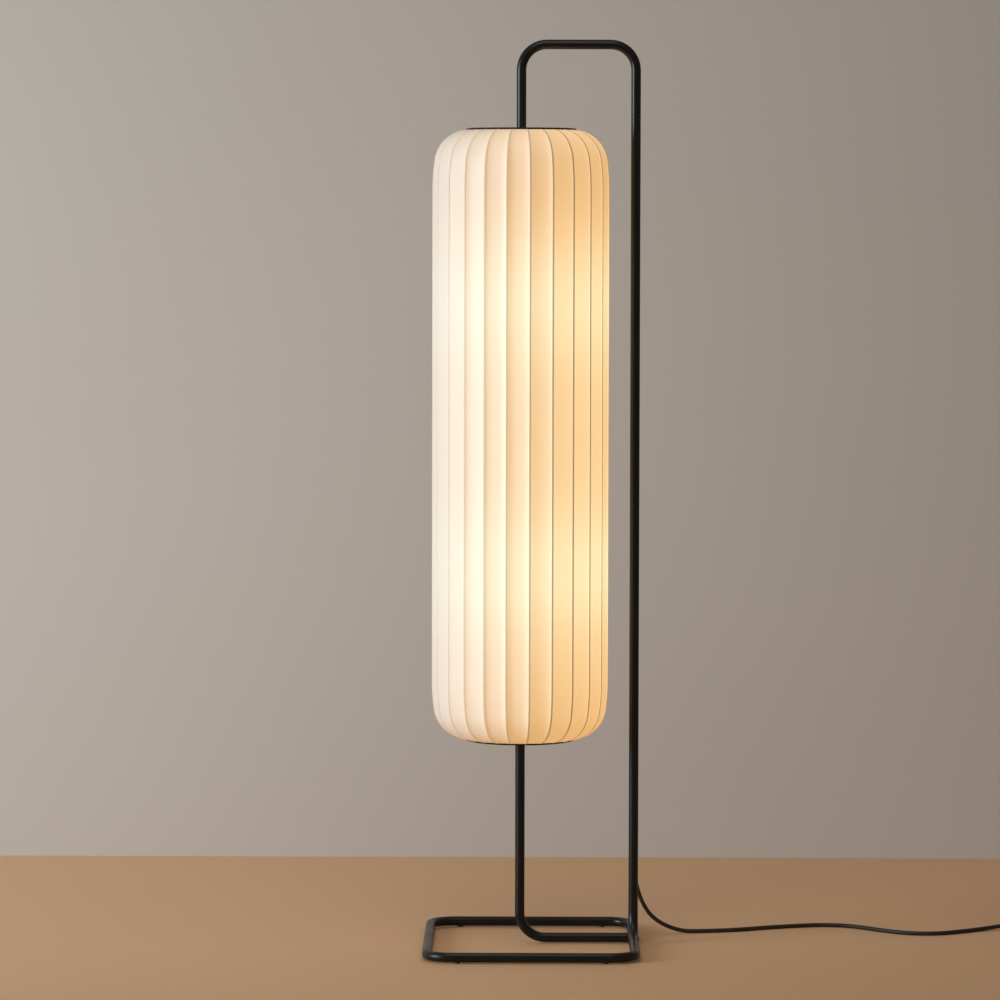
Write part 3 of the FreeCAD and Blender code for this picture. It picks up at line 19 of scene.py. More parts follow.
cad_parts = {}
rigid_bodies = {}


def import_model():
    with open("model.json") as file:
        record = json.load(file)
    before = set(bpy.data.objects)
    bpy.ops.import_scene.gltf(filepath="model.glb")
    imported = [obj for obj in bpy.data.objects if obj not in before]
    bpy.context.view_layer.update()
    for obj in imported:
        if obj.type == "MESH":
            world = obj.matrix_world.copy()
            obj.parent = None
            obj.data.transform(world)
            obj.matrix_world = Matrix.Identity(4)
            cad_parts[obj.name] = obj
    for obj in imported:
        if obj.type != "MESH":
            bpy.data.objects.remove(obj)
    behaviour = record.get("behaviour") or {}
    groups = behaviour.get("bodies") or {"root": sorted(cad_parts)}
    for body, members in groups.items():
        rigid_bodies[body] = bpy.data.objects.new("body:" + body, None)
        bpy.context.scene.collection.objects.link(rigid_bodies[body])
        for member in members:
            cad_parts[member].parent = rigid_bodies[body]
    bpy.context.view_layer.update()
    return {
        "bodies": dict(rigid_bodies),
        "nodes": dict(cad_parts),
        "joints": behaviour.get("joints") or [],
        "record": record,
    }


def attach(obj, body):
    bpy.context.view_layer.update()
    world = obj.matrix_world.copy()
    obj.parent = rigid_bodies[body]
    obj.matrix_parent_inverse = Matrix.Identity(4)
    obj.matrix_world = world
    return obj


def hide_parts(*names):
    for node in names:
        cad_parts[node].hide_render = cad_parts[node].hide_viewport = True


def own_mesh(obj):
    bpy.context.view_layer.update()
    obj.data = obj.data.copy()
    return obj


log = logging.getLogger("silk_floor_lamp")

MM = 0.001
LAMPLIGHT = "lamplight"
SHARP_ANGLE = 38.0
NOISE_ROUGHNESS = 0.55
RING_STEPS = 72
BEAD_STEPS = 12
WIRE_STEPS = 10
SEAM_STEPS = 8
BAR_ROWS = 17
BAR_TIP = 0.003

Array = np.ndarray
Material = bpy.types.Material
Object = bpy.types.Object
Socket = bpy.types.NodeSocket
Pair = tuple[float, float]
Colour = tuple[float, float, float]
Point = tuple[float, float, float]


class Body(Enum):
    """The bodies of the part that a piece can ride on."""

    FRAME = "frame"
    SHADE = "shade"
    BUTTON = "switch_button"


class Axis(Enum):
    """An axis of the row frame, followed by the two axes across it."""

    X = (0, 1, 2)
    Y = (1, 2, 0)
    Z = (2, 0, 1)


class Edge(Enum):
    """The two open ends of the shade: the row of points there, and the way out of it."""

    LOWER = (0, -1.0)
    UPPER = (-1, 1.0)


@dataclass(frozen=True)
class Value:
    """A number in a shader graph, on which Python's operators add Math nodes."""

    graph: Graph
    socket: Socket

    def _math(self, operation: str, other: Entry) -> Value:
        """A Math node on this number and another one."""
        return self.graph.value("Math", {0: self, 1: other}, {"operation": operation})

    def __add__(self, other: Entry) -> Value:
        """self + other."""
        return self._math("ADD", other)

    def __sub__(self, other: Entry) -> Value:
        """self - other."""
        return self._math("SUBTRACT", other)

    def __mul__(self, other: Entry) -> Value:
        """self * other."""
        return self._math("MULTIPLY", other)

    def __pow__(self, other: Entry) -> Value:
        """self to the power other."""
        return self._math("POWER", other)

    __radd__ = __add__
    __rmul__ = __mul__


Entry = Value | Socket | float | tuple


@dataclass(frozen=True)
class Noise:
    """Soft noise: its scale to the metre, its detail, and its stretch along each axis."""

    scale: float
    detail: float
    stretch: Point = (1.0, 1.0, 1.0)


class Graph:
    """The node graph of a material or of the world."""

    def __init__(self, owner: Material | bpy.types.World) -> None:
        """Starts an empty graph in its owner."""
        self.owner = owner
        self.owner.use_nodes = True
        self.tree = self.owner.node_tree
        self.tree.nodes.clear()

    def node(self, kind: str, inputs: dict | None = None, settings: dict | None = None) -> bpy.types.Node:
        """Adds a node, with its settings first and then its sockets.

        Args:
            kind: the node's type, without the prefix that all of them share.
            inputs: socket name or number to a link or a constant.
            settings: attributes of the node.

        Returns:
            The node.
        """
        node = self.tree.nodes.new("ShaderNode" + kind)
        for name, setting in (settings or {}).items():
            setattr(node, name, setting)
        for key, entry in (inputs or {}).items():
            socket = node.inputs[key]
            if isinstance(entry, Value):
                self.tree.links.new(entry.socket, socket)
            elif isinstance(entry, Socket):
                self.tree.links.new(entry, socket)
            else:
                socket.default_value = entry
        return node

    def value(self, kind: str, inputs: dict, settings: dict | None = None) -> Value:
        """Adds a node and wraps its first output as a number."""
        return Value(self, self.node(kind, inputs, settings).outputs[0])

    def noise(self, kind: Noise) -> Value:
        """Soft noise from 0 to 1 about one half, in the object's own coordinates.

        Args:
            kind: its scale, detail and stretch.

        Returns:
            The noise.
        """
        place = self.node("TexCoord").outputs["Object"]
        stretched = self.node("Mapping", {"Vector": place, "Scale": kind.stretch})
        inputs = {"Vector": stretched.outputs[0], "Scale": kind.scale}
        inputs |= {"Detail": kind.detail, "Roughness": NOISE_ROUGHNESS}
        return self.value("TexNoise", inputs)

    def blend(self, share: Entry, low: Entry, high: Entry, how: str = "MIX") -> Socket:
        """Two colours mixed.

        Args:
            share: how much of the second one there is.
            low: the first colour.
            high: the second colour.
            how: the node's way of mixing.

        Returns:
            The mixed colour.
        """
        colours = [(*c, 1.0) if isinstance(c, tuple) else c for c in (low, high)]
        settings = {"data_type": "RGBA", "blend_type": how}
        return self.node("Mix", {0: share, 6: colours[0], 7: colours[1]}, settings).outputs[2]

    def bump(self, height: Value, strength: float, distance: float) -> Socket:
        """A normal from a height of 0 to 1 that stands for a distance in metres."""
        inputs = {"Strength": strength, "Distance": distance, "Height": height}
        return self.node("Bump", inputs).outputs["Normal"]

    def principled(self, inputs: dict[str, Entry]) -> Socket:
        """A Principled shader, of whose inputs three numbers are a colour."""
        sockets = {k: (*v, 1.0) if isinstance(v, tuple) and len(v) == 3 else v for k, v in inputs.items()}
        return self.node("BsdfPrincipled", sockets).outputs[0]

    def surface(self, shader: Socket) -> Material:
        """Ends the graph in a shader."""
        self.node("OutputMaterial", {"Surface": shader})
        return self.owner


@dataclass(frozen=True)
class Finish:
    """A finish that the pieces of one slot share."""

    name: str

    def sockets(self, graph: Graph) -> dict[str, Entry]:
        """Inputs of the finish's Principled shader."""
        raise NotImplementedError

    def build(self) -> Material:
        """Makes the material, under the finish's name."""
        graph = Graph(bpy.data.materials.new(self.name))
        return graph.surface(graph.principled(self.sockets(graph)))


@dataclass(frozen=True)
class Grained(Finish):
    """Two tones, a fine grain and a slow cloud.

    The grain is the relief, a mix of both is the share of the second tone, and the
    roughness is an even level that swings with each of them about its middle.
    """

    tint: Colour
    worn: Colour
    rough: float
    grain: Noise
    cloud: Noise
    swing: Pair
    relief: Pair = (0.2, 0.0001)
    metallic: float = 0.0
    gloss: float = 0.5

    def share(self, grain: Value, cloud: Value) -> Value:
        """How much of the second tone there is."""
        return cloud

    def sockets(self, graph: Graph) -> dict[str, Entry]:
        """Inputs of the finish's Principled shader.

        Args:
            graph: the material's graph.

        Returns:
            A link or a constant for each socket.
        """
        grain, cloud = graph.noise(self.grain), graph.noise(self.cloud)
        with_grain, with_cloud = self.swing
        return {
            "Base Color": graph.blend(self.share(grain, cloud), self.tint, self.worn),
            "Metallic": self.metallic,
            "Roughness": self.rough + with_grain * (grain - 0.5) + with_cloud * (cloud - 0.5),
            "Specular IOR Level": self.gloss,
            "Normal": graph.bump(grain, *self.relief),
        }


@dataclass(frozen=True)
class PowderCoat(Grained):
    """Satin powder coat on steel: a fine orange peel, and a cloud of slight wear."""

    grain: Noise = Noise(1300.0, 1.0)
    cloud: Noise = Noise(16.0, 4.0)
    swing: Pair = (0.06, 0.14)
    gloss: float = 0.42

    def share(self, grain: Value, cloud: Value) -> Value:
        """The wear, kept to the cloud's peaks."""
        return cloud ** 2.0


@dataclass(frozen=True)
class Moulded(Grained):
    """Moulded plastic: a spark-eroded grain, and roughness that handling has evened."""

    grain: Noise = Noise(2200.0, 2.0)
    cloud: Noise = Noise(45.0, 3.0)
    swing: Pair = (0.12, 0.1)
    relief: Pair = (0.3, 0.00008)

    def share(self, grain: Value, cloud: Value) -> Value:
        """The pale tone, where a peak of the grain lies in the cloud."""
        return cloud * grain


@dataclass(frozen=True)
class Plated(Grained):
    """Plated or bare metal: drawn streaks along one axis, and dull patches."""

    grain: Noise = Noise(1.0, 2.0, (60.0, 60.0, 1500.0))
    cloud: Noise = Noise(90.0, 4.0)
    swing: Pair = (0.15, 0.15)
    relief: Pair = (0.12, 0.00005)
    metallic: float = 1.0


@dataclass(frozen=True)
class BambooStrip(Grained):
    """Split bamboo: long fibres up the strip, between a pale and a brown tone."""

    grain: Noise = Noise(1.0, 3.0, (1600.0, 1600.0, 24.0))
    cloud: Noise = Noise(1.0, 2.0, (30.0, 30.0, 9.0))
    swing: Pair = (0.2, 0.0)
    relief: Pair = (0.3, 0.0001)

    def share(self, grain: Value, cloud: Value) -> Value:
        """The brown tone, more by fibres than by bands."""
        return grain * 0.6 + cloud * 0.4


@dataclass(frozen=True)
class CordSheath(Grained):
    """Round mains cord: a matt sheath with slight drawing lines and dust."""

    grain: Noise = Noise(1500.0, 2.0)
    cloud: Noise = Noise(70.0, 4.0)
    swing: Pair = (0.0, 0.15)

    def share(self, grain: Value, cloud: Value) -> Value:
        """The dust, which lies in a few spots."""
        return cloud ** 3.0


@dataclass(frozen=True)
class LitCloth(Finish):
    """Cloth with a lamp behind it: slubs across and along, and the light it lets through.

    The light that comes through is the piece's own colour attribute, thinned
    where a thicker thread lies.
    """

    pale: Colour
    deep: Colour
    rough: float
    sheen: float
    weft: Noise = Noise(1.0, 2.0, (26.0, 26.0, 1100.0))
    warp: Noise = Noise(1.0, 2.0, (1100.0, 1100.0, 14.0))
    cloud: Noise = Noise(1.0, 3.0, (13.0, 13.0, 5.0))
    weft_share: float = 0.55
    slub_share: float = 0.6
    swing: float = 0.25
    sheen_rough: float = 0.35
    thread: float = 0.35
    thread_shadow: Colour = (0.85, 0.81, 0.75)
    thick_range: Pair = (0.3, 0.72)
    relief: Pair = (0.35, 0.00025)

    def sockets(self, graph: Graph) -> dict[str, Entry]:
        """Inputs of the finish's Principled shader.

        Args:
            graph: the material's graph.

        Returns:
            A link or a constant for each socket.
        """
        slub = self.weft_share * graph.noise(self.weft) + (1 - self.weft_share) * graph.noise(self.warp)
        thick = self.slub_share * slub + (1 - self.slub_share) * graph.noise(self.cloud)
        thin, full = self.thick_range
        shadow = graph.blend((thick - thin) * (1 / (full - thin)), (1.0, 1.0, 1.0), self.thread_shadow)
        through = graph.node("Attribute", None, {"attribute_name": LAMPLIGHT}).outputs["Color"]
        return {
            "Base Color": graph.blend(slub, self.pale, self.deep),
            "Roughness": self.rough + self.swing * (slub - 0.5),
            "Sheen Weight": self.sheen,
            "Sheen Roughness": self.sheen_rough,
            "Emission Color": graph.blend(self.thread, through, shadow, "MULTIPLY"),
            "Emission Strength": 1.0,
            "Normal": graph.bump(slub, *self.relief),
        }


@dataclass(frozen=True)
class OpalGlobe(Finish):
    """An opal bulb that is lit: nearly even light, which drifts in a cloud between two tones."""

    glow: Colour
    rim: Colour
    strength: float
    glass: Colour = (0.9, 0.89, 0.86)
    rough: float = 0.3
    swing: float = 0.1
    cloud: Noise = Noise(30.0, 2.0)

    def sockets(self, graph: Graph) -> dict[str, Entry]:
        """Inputs of the finish's Principled shader.

        Args:
            graph: the material's graph.

        Returns:
            A link or a constant for each socket.
        """
        cloud = graph.noise(self.cloud)
        return {
            "Base Color": self.glass,
            "Roughness": self.rough + self.swing * cloud,
            "Emission Color": graph.blend(cloud, self.glow, self.rim),
            "Emission Strength": self.strength,
        }


@dataclass(frozen=True)
class StagePaint(Finish):
    """A plain floor or wall, seen from its front only."""

    tint: Colour
    mottle: Colour
    rough: float
    cloud: Noise = Noise(1.3, 4.0)

    def build(self) -> Material:
        """Makes the material: paint in front, clear behind.

        Returns:
            The material, under the finish's name.
        """
        graph = Graph(bpy.data.materials.new(self.name))
        colour = graph.blend(graph.noise(self.cloud), self.tint, self.mottle)
        paint = graph.principled({"Base Color": colour, "Roughness": self.rough})
        clear = graph.node("BsdfTransparent").outputs[0]
        behind = graph.node("NewGeometry").outputs["Backfacing"]
        sides = graph.node("MixShader", {0: behind, 1: paint, 2: clear})
        return graph.surface(sides.outputs[0])


FINISHES: dict[str, Finish] = {
    "black_tube": PowderCoat("satin_black_coat", (0.0025, 0.0025, 0.0028), (0.009, 0.0088, 0.0085), 0.33),
    "black_metal": PowderCoat("satin_black_paint", (0.004, 0.004, 0.0045), (0.012, 0.0118, 0.0115), 0.42),
    "zinc_steel": Plated("zinc_plate", (0.66, 0.67, 0.69), (0.5, 0.5, 0.5), 0.32),
    "dark_steel": Plated("blackened_steel", (0.16, 0.16, 0.17), (0.08, 0.08, 0.08), 0.4),
    "clear_glide": Moulded("dark_glide", (0.03, 0.03, 0.03), (0.07, 0.069, 0.067), 0.5),
    "bamboo": BambooStrip("split_bamboo", (0.62, 0.44, 0.25), (0.42, 0.26, 0.12), 0.48),
    "white_flex": Moulded("white_flex", (0.72, 0.71, 0.68), (0.82, 0.81, 0.78), 0.42),
    "black_plastic": Moulded("black_plastic", (0.016, 0.016, 0.017), (0.05, 0.05, 0.05), 0.45),
    "cord_sheath": CordSheath("black_cord", (0.014, 0.014, 0.015), (0.07, 0.066, 0.06), 0.5),
    "switch_plastic": Moulded("switch_black", (0.018, 0.018, 0.019), (0.055, 0.054, 0.053), 0.4),
    "white_plastic": Moulded("white_block", (0.7, 0.69, 0.66), (0.8, 0.79, 0.76), 0.4),
    "spring_steel": Plated("spring_wire", (0.58, 0.57, 0.55), (0.4, 0.4, 0.4), 0.28),
    "plug_plastic": Moulded("plug_black", (0.017, 0.017, 0.018), (0.05, 0.05, 0.05), 0.48),
    "plug_metal": Plated("nickel_pins", (0.72, 0.7, 0.66), (0.56, 0.54, 0.5), 0.24),
    "brass_part": Plated("brass", (0.74, 0.54, 0.24), (0.5, 0.36, 0.16), 0.3),
    "holder_plastic": Moulded("holder_black", (0.02, 0.019, 0.018), (0.06, 0.058, 0.055), 0.38),
    "cap_metal": Plated("aluminium_cap", (0.78, 0.78, 0.78), (0.6, 0.6, 0.6), 0.35),
    "bulb_plastic": Moulded("bulb_white", (0.76, 0.75, 0.72), (0.85, 0.84, 0.81), 0.35),
    "opal_globe": OpalGlobe("opal_lit", (1.0, 0.86, 0.6), (1.0, 0.78, 0.46), 2.4),
}

SILK = LitCloth("white_silk", (0.84, 0.84, 0.82), (0.74, 0.73, 0.7), 0.5, 0.15)
# The seam thread's own colour, under lamplight in which the rib's shadow and a glow on the far side are
# painted.
SEAM_AND_RIB_SHADOW = LitCloth("rib_seam", (0.86, 0.82, 0.76), (0.76, 0.71, 0.64), 0.6, 0.1)
BINDING = CordSheath("black_binding", (0.006, 0.006, 0.006), (0.03, 0.028, 0.026), 0.75)


def grid_faces(rows: int, columns: int, closed_rows: bool) -> Array:
    """Quads of a grid of points, of which the last in a row joins the first.

    Args:
        rows: number of rows of points.
        columns: number of points in a row.
        closed_rows: the last row joins the first.

    Returns:
        An array of four point numbers for each quad.
    """
    r = np.arange(rows if closed_rows else rows - 1)[:, None]
    c = np.arange(columns)[None, :]
    r_next, c_next = (r + 1) % rows, (c + 1) % columns
    corners = [r * columns + c, r * columns + c_next, r_next * columns + c_next, r_next * columns + c]
    return np.stack(np.broadcast_arrays(*corners), axis=-1).reshape(-1, 4)


def enclosed(points: Array, faces: Array) -> float:
    """Volume that quads enclose: the sum of the pyramids from the origin to their halves.

    Args:
        points: an array of points, three numbers each.
        faces: four point numbers for each quad.

    Returns:
        The volume, negative where the quads face inwards.
    """
    a, b, c, d = (points[faces[:, k]] for k in range(4))
    halves = np.einsum("ij,ij->i", a, np.cross(b, c)) + np.einsum("ij,ij->i", a, np.cross(c, d))
    return float(halves.sum() / 6.0)


def full_turn(steps: int) -> Array:
    """Angles evenly round a circle, from zero."""
    return np.linspace(0, 2 * math.pi, steps, endpoint=False)


def polar(centre: Pair, reach: Array | float, turn: Array, height: Array | float) -> Array:
    """Points about an upright axis: reach times cosine and sine of the turn, at a height.

    Args:
        centre: the axis.
        reach: distances from it.
        turn: angles round it.
        height: heights.

    Returns:
        An array of points, as wide as the others are together.
    """
    x, y = centre[0] + reach * np.cos(turn), centre[1] + reach * np.sin(turn)
    return np.stack(np.broadcast_arrays(x, y, height), axis=-1)


def on_axis(axis: Axis, middle: Point, parts: tuple[Array, Array, Array]) -> Array:
    """Points about a middle, from their parts along an axis and across it."""
    grid = np.stack(np.broadcast_arrays(*parts), axis=-1)
    return grid[..., np.argsort(axis.value)] + np.array(middle)


def torus(centre: Point, axis: Axis, radius: float, bead: float, stretch: float = 0.0) -> Array:
    """A ring about an axis.

    A round section is carried along a circle, or along two half circles drawn apart.

    Args:
        centre: the middle of the ring, in millimetres.
        axis: the axis that it goes round.
        radius: the circle that the section is carried along.
        bead: the section's own radius.
        stretch: how far each half is drawn along the first axis across.

    Returns:
        A grid that closes both ways.
    """
    turn = full_turn(RING_STEPS)[:, None] + math.pi / RING_STEPS
    section = full_turn(BEAD_STEPS)[None, :]
    reach = radius + bead * np.cos(section)
    wide = reach * np.cos(turn) + stretch * np.sign(np.cos(turn))
    return on_axis(axis, centre, (bead * np.sin(section), wide, reach * np.sin(turn)))


def bar(middle: Point, axis: Axis, half: float, thick: float) -> Array:
    """A straight round bar, of even thickness but for its ends, which round off.

    Its radius is the root of one less the eighth power of the distance from its middle.

    Args:
        middle: the middle of the bar, in millimetres.
        axis: the axis that it lies along.
        half: half of its length.
        thick: its radius.

    Returns:
        A grid that closes round the bar and is open at its two narrow ends.
    """
    share = np.cos(np.linspace(math.pi, 0, BAR_ROWS))[:, None]
    section = full_turn(WIRE_STEPS)[None, :]
    reach = thick * np.sqrt(np.maximum(1 - share ** 8, BAR_TIP))
    return on_axis(axis, middle, (half * share, reach * np.cos(section), reach * np.sin(section)))


def put(name: str, data: bpy.types.ID) -> Object:
    """Puts a new object into the scene.

    Args:
        name: its name.
        data: its mesh, curve, light or camera.

    Returns:
        The object.
    """
    obj = bpy.data.objects.new(name, data)
    bpy.context.scene.collection.objects.link(obj)
    return obj


@dataclass
class Piece:
    """A new piece of the lamp: where it rides, its slot, and a finish if not the slot's own."""

    name: str
    body: Body
    slot: str
    finish: Finish | None = None

    def place(self, data: bpy.types.ID) -> Object:
        """Puts the piece into the scene on its body, with its own finish or else the finish of its slot.

        Args:
            data: its mesh or curve.

        Returns:
            The placed object.
        """
        obj = put(self.name, data)
        finish = self.finish or FINISHES[self.slot]
        data.materials.append(finish.build())
        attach(obj, self.body.value)
        log.info("%s rides on %s", self.name, self.body.value)
        return obj

    def from_grids(self, grids: list[Array], closed_rows: bool, light: Array | None = None) -> Object:
        """A mesh from closed grids of the same shape, with outward faces.

        Args:
            grids: arrays of rows by columns by three, in millimetres, closed along the columns.
            closed_rows: the rows close as well; otherwise each end row is capped.
            light: lamplight of each point, where the cloth lets some through.

        Returns:
            The placed object.
        """
        rows, columns = grids[0].shape[:2]
        points = np.concatenate([grid.reshape(-1, 3) for grid in grids]) * MM
        quads = grid_faces(rows, columns, closed_rows)
        ends = np.stack([np.arange(columns)[::-1], np.arange(columns) + (rows - 1) * columns])
        first = grids[0].reshape(-1, 3)
        if enclosed(first - first.mean(axis=0), quads) < 0:
            quads, ends = quads[:, ::-1], ends[:, ::-1]
        starts = np.arange(len(grids)) * rows * columns
        faces = (quads[None] + starts[:, None, None]).reshape(-1, 4).tolist()
        if not closed_rows:
            faces += (ends[None] + starts[:, None, None]).reshape(-1, columns).tolist()
        mesh = bpy.data.meshes.new(self.name)
        mesh.from_pydata(points.tolist(), [], faces)
        mesh.polygons.foreach_set("use_smooth", np.ones(len(mesh.polygons), dtype=bool))
        mesh.set_sharp_from_angle(angle=math.radians(SHARP_ANGLE))
        if light is not None:
            attribute = mesh.attributes.new(LAMPLIGHT, "FLOAT_COLOR", "POINT")
            attribute.data.foreach_set("color", np.c_[light, np.ones(len(light))].ravel())
        mesh.update()
        return self.place(mesh)


@dataclass(frozen=True)
class Lamplight:
    """Light that the two bulbs send through the silk.

    Its level up the shade is an even level that falls off to both ends, with a hot
    spot at the height of each bulb. Its colour follows the level, and all of it grows
    round the shade to the side that the bulbs are on.
    """

    axis: Pair = (-19.0, 20.0)
    hot_heights: Pair = (1078.0, 628.0)
    hot_spread: float = 108.0
    hot_level: float = 0.215
    levels: tuple[Pair, ...] = (
        (343.0, 0.33),
        (367.0, 0.37),
        (387.0, 0.43),
        (446.0, 0.485),
        (560.0, 0.52),
        (853.0, 0.55),
        (1000.0, 0.53),
        (1150.0, 0.455),
        (1250.0, 0.41),
        (1351.0, 0.4),
    )
    bulb_side: float = -38.0
    far_side: float = 0.18
    side_power: float = 1.25
    stops: tuple[tuple[float, Colour], ...] = (
        (0.3, (0.56, 0.3, 0.09)),
        (0.41, (0.72, 0.41, 0.14)),
        (0.47, (0.79, 0.47, 0.175)),
        (0.55, (0.855, 0.55, 0.24)),
        (0.64, (0.89, 0.64, 0.31)),
        (0.73, (0.91, 0.73, 0.39)),
    )

    def at(self, points: Array, near: float = 1.0, far: float = 1.0) -> Array:
        """Light at points in millimetres.

        Args:
            points: an array of points, three numbers each.
            near: how much of the bulbs' straight light the cloth lets through.
            far: how much of the scattered light, on the other side, it lets through.

        Returns:
            A colour for each point.
        """
        place = points.reshape(-1, 3)
        height = place[:, 2]
        hot = sum(np.exp(-(((height - h) / self.hot_spread) ** 2)) for h in self.hot_heights)
        level = np.interp(height, *np.array(self.levels).T) + self.hot_level * hot
        round_ = np.arctan2(place[:, 1] - self.axis[1], place[:, 0] - self.axis[0])
        facing = (1.0 + np.cos(round_ - math.radians(self.bulb_side))) / 2
        side = self.far_side + (1.0 - self.far_side) * facing ** self.side_power
        places = [stop for stop, _ in self.stops]
        tones = np.array([tone for _, tone in self.stops])
        colour = np.stack([np.interp(level, places, tones[:, k]) for k in range(3)], axis=-1)
        share = far + (near - far) * facing
        return colour * (side * share)[:, None]


@dataclass
class SilkShade:
    """Silk stretched over a lantern of ribs, with a seam on each rib that carries the rib's painted
    shadow, and a binding at each rim.
    """

    axis: Pair = (-19.0, 20.0)
    low: float = 343.0
    high: float = 1351.0
    ridge: float = 146.8
    ribs: int = 24
    first_rib: float = 6.0
    lead_radius: float = 350.0
    lead_angle: float = 8.0
    shoulder_radius: float = 57.4
    rim_angle: float = 87.0
    sag: float = 4.0
    rim_sag: float = 1.2
    fullness: float = 3.2
    thickness: float = 0.8
    panel_points: int = 16
    lead_rows: int = 8
    shoulder_rows: int = 26
    straight_rows: int = 42
    seed: int = 11
    panel_spread: float = 0.07
    slow_waver: Pair = (0.05, 61.0)
    quick_waver: Pair = (0.03, 23.0)
    quick_phase: float = 2.3
    seam_width: float = 3.2
    seam_height: float = 0.9
    # Lamplight shares of the seams, bulbs' side then far side: the low one paints the rib's shadow on the
    # silk, the high one a painted glow above the silk's own.
    seam_light_and_rib_shadow: Pair = (0.2, 1.4)
    binding_half: Pair = (1.6, 1.9)
    binding_shift: Pair = (0.3, 0.6)
    flat: Pair = (0.935, 1.068)
    flat_area: float = 0.96
    light: Lamplight = Lamplight()

    def side(self) -> tuple[Array, Array, Array]:
        """The ridge of a rib, from the lower edge to the upper one.

        The slope turns from upright through a slow lead arc, then a shoulder arc,
        to its angle at the rim; radius and height are the two arcs' own.

        Returns:
            Radius, height and slope (upwards positive) of each row.
        """
        lead, rim = math.radians(self.lead_angle), math.radians(self.rim_angle)
        slow = np.linspace(0.0, lead, self.lead_rows)[:-1]
        quick = np.linspace(lead, rim, self.shoulder_rows)
        slope = np.concatenate([slow, quick])
        first, second = np.minimum(slope, lead), np.maximum(slope, lead)
        radius = self.ridge - self.lead_radius * (1 - np.cos(first))
        radius = radius - self.shoulder_radius * (math.cos(lead) - np.cos(second))
        rise = self.lead_radius * np.sin(first)
        rise = rise + self.shoulder_radius * (np.sin(second) - math.sin(lead))
        upper = self.high - rise[-1] + rise
        middle = (self.low + self.high) / 2
        straight = np.linspace(2 * middle - upper[0], upper[0], self.straight_rows)[1:-1]
        height = np.concatenate([(2 * middle - upper)[::-1], straight, upper])
        upright = np.full_like(straight, self.ridge)
        return (
            np.concatenate([radius[::-1], upright, radius]),
            height,
            np.concatenate([-slope[::-1], np.zeros_like(straight), slope]),
        )

    def turns(self) -> Array:
        """Angle of each column, starting on a rib."""
        return math.radians(self.first_rib) + full_turn(self.ribs * self.panel_points)

    def outside(self) -> Array:
        """The outer face of the silk as rows by columns.

        Each panel is its chord between two ribs, bowed inwards by one less a power of the
        distance from its middle, so that it is flat there and rises quickly to the ribs.
        The depth differs a little from panel to panel and wavers along it.

        Returns:
            A grid of points, from the lower edge to the upper one.
        """
        radius, height, slope = self.side()
        rng = np.random.default_rng(self.seed)
        half = math.pi / self.ribs
        within = (np.arange(self.panel_points) / self.panel_points) * 2 - 1
        fade = np.cos(np.abs(slope) * 90 / self.rim_angle)
        depth = self.rim_sag + (self.sag - self.rim_sag) * fade
        bow = (depth - radius * (1 - math.cos(half)))[:, None]
        own = 1 + rng.uniform(-self.panel_spread, self.panel_spread, self.ribs)
        phase = rng.uniform(0, 2 * math.pi, self.ribs)
        (slow, slow_length), (quick, quick_length) = self.slow_waver, self.quick_waver
        waver = 1 + slow * np.sin(height[:, None] / slow_length + phase)
        waver = waver + quick * np.sin(height[:, None] / quick_length + self.quick_phase * phase)
        chord = radius[:, None, None] * math.cos(half) / np.cos(within * half)
        dip = (bow * own * waver)[:, :, None] * (1 - np.abs(within) ** self.fullness)
        reach = (chord - dip).reshape(len(height), -1)
        return polar(self.axis, reach, self.turns(), height[:, None])

    def cover(self) -> Object:
        """The silk: its outer face, and its inner face a thickness behind, joined at both edges.

        Returns:
            The placed object.
        """
        outer = self.outside()
        slope = self.side()[2][:, None]
        outward = polar((0.0, 0.0), np.cos(slope), self.turns(), np.sin(slope))
        grid = np.concatenate([outer, (outer - self.thickness * outward)[::-1]])
        piece = Piece("silk_shade", Body.SHADE, "silk", SILK)
        return piece.from_grids([grid], True, self.light.at(grid))

    def seams(self) -> Object:
        """A narrow seam on each rib: an ellipse carried along the ridge. Its lamplight is cut to a fifth
        on the bulbs' side, which is painted shadow of the rib behind the silk, and is lifted above the
        silk's own on the far side, which is a painted glow.

        Returns:
            The placed object.
        """
        radius, height, slope = self.side()
        ring = full_turn(SEAM_STEPS)
        across = self.seam_width / 2 * np.cos(ring)[None, :]
        out = self.seam_height / 2 * np.sin(ring)[None, :]
        reach = radius[:, None] + out * np.cos(slope)[:, None]
        level = height[:, None] + out * np.sin(slope)[:, None]
        turn = self.turns()[:: self.panel_points, None, None]
        x = self.axis[0] + reach * np.cos(turn) - across * np.sin(turn)
        y = self.axis[1] + reach * np.sin(turn) + across * np.cos(turn)
        grids = np.stack(np.broadcast_arrays(x, y, level), axis=-1)
        piece = Piece("rib_seams", Body.SHADE, "silk", SEAM_AND_RIB_SHADOW)
        return piece.from_grids(list(grids), False, self.light.at(grids, *self.seam_light_and_rib_shadow))

    def binding(self, edge: Edge) -> Object:
        """A black binding: an ellipse carried along the scalloped edge of the silk.

        Args:
            edge: the end of the shade.

        Returns:
            The placed object.
        """
        row, away = edge.value
        rim = self.outside()[row]
        across, up = self.binding_half
        outwards, beyond = self.binding_shift
        ring = full_turn(WIRE_STEPS)[:, None]
        reach = np.hypot(rim[:, 0] - self.axis[0], rim[:, 1] - self.axis[1])
        reach = reach[None, :] + outwards + across * np.cos(ring)
        height = rim[None, :, 2] + away * beyond + up * np.sin(ring)
        piece = Piece(f"{edge.name.lower()}_binding", Body.SHADE, "black_metal", BINDING)
        return piece.from_grids([polar(self.axis, reach, self.turns(), height)], True)

    def build(self) -> None:
        """Makes the silk, its seams and bindings, in place of the plain solid."""
        silk = self.cover()
        trim = [self.seams(), self.binding(Edge.LOWER), self.binding(Edge.UPPER)]
        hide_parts("silk_cover")


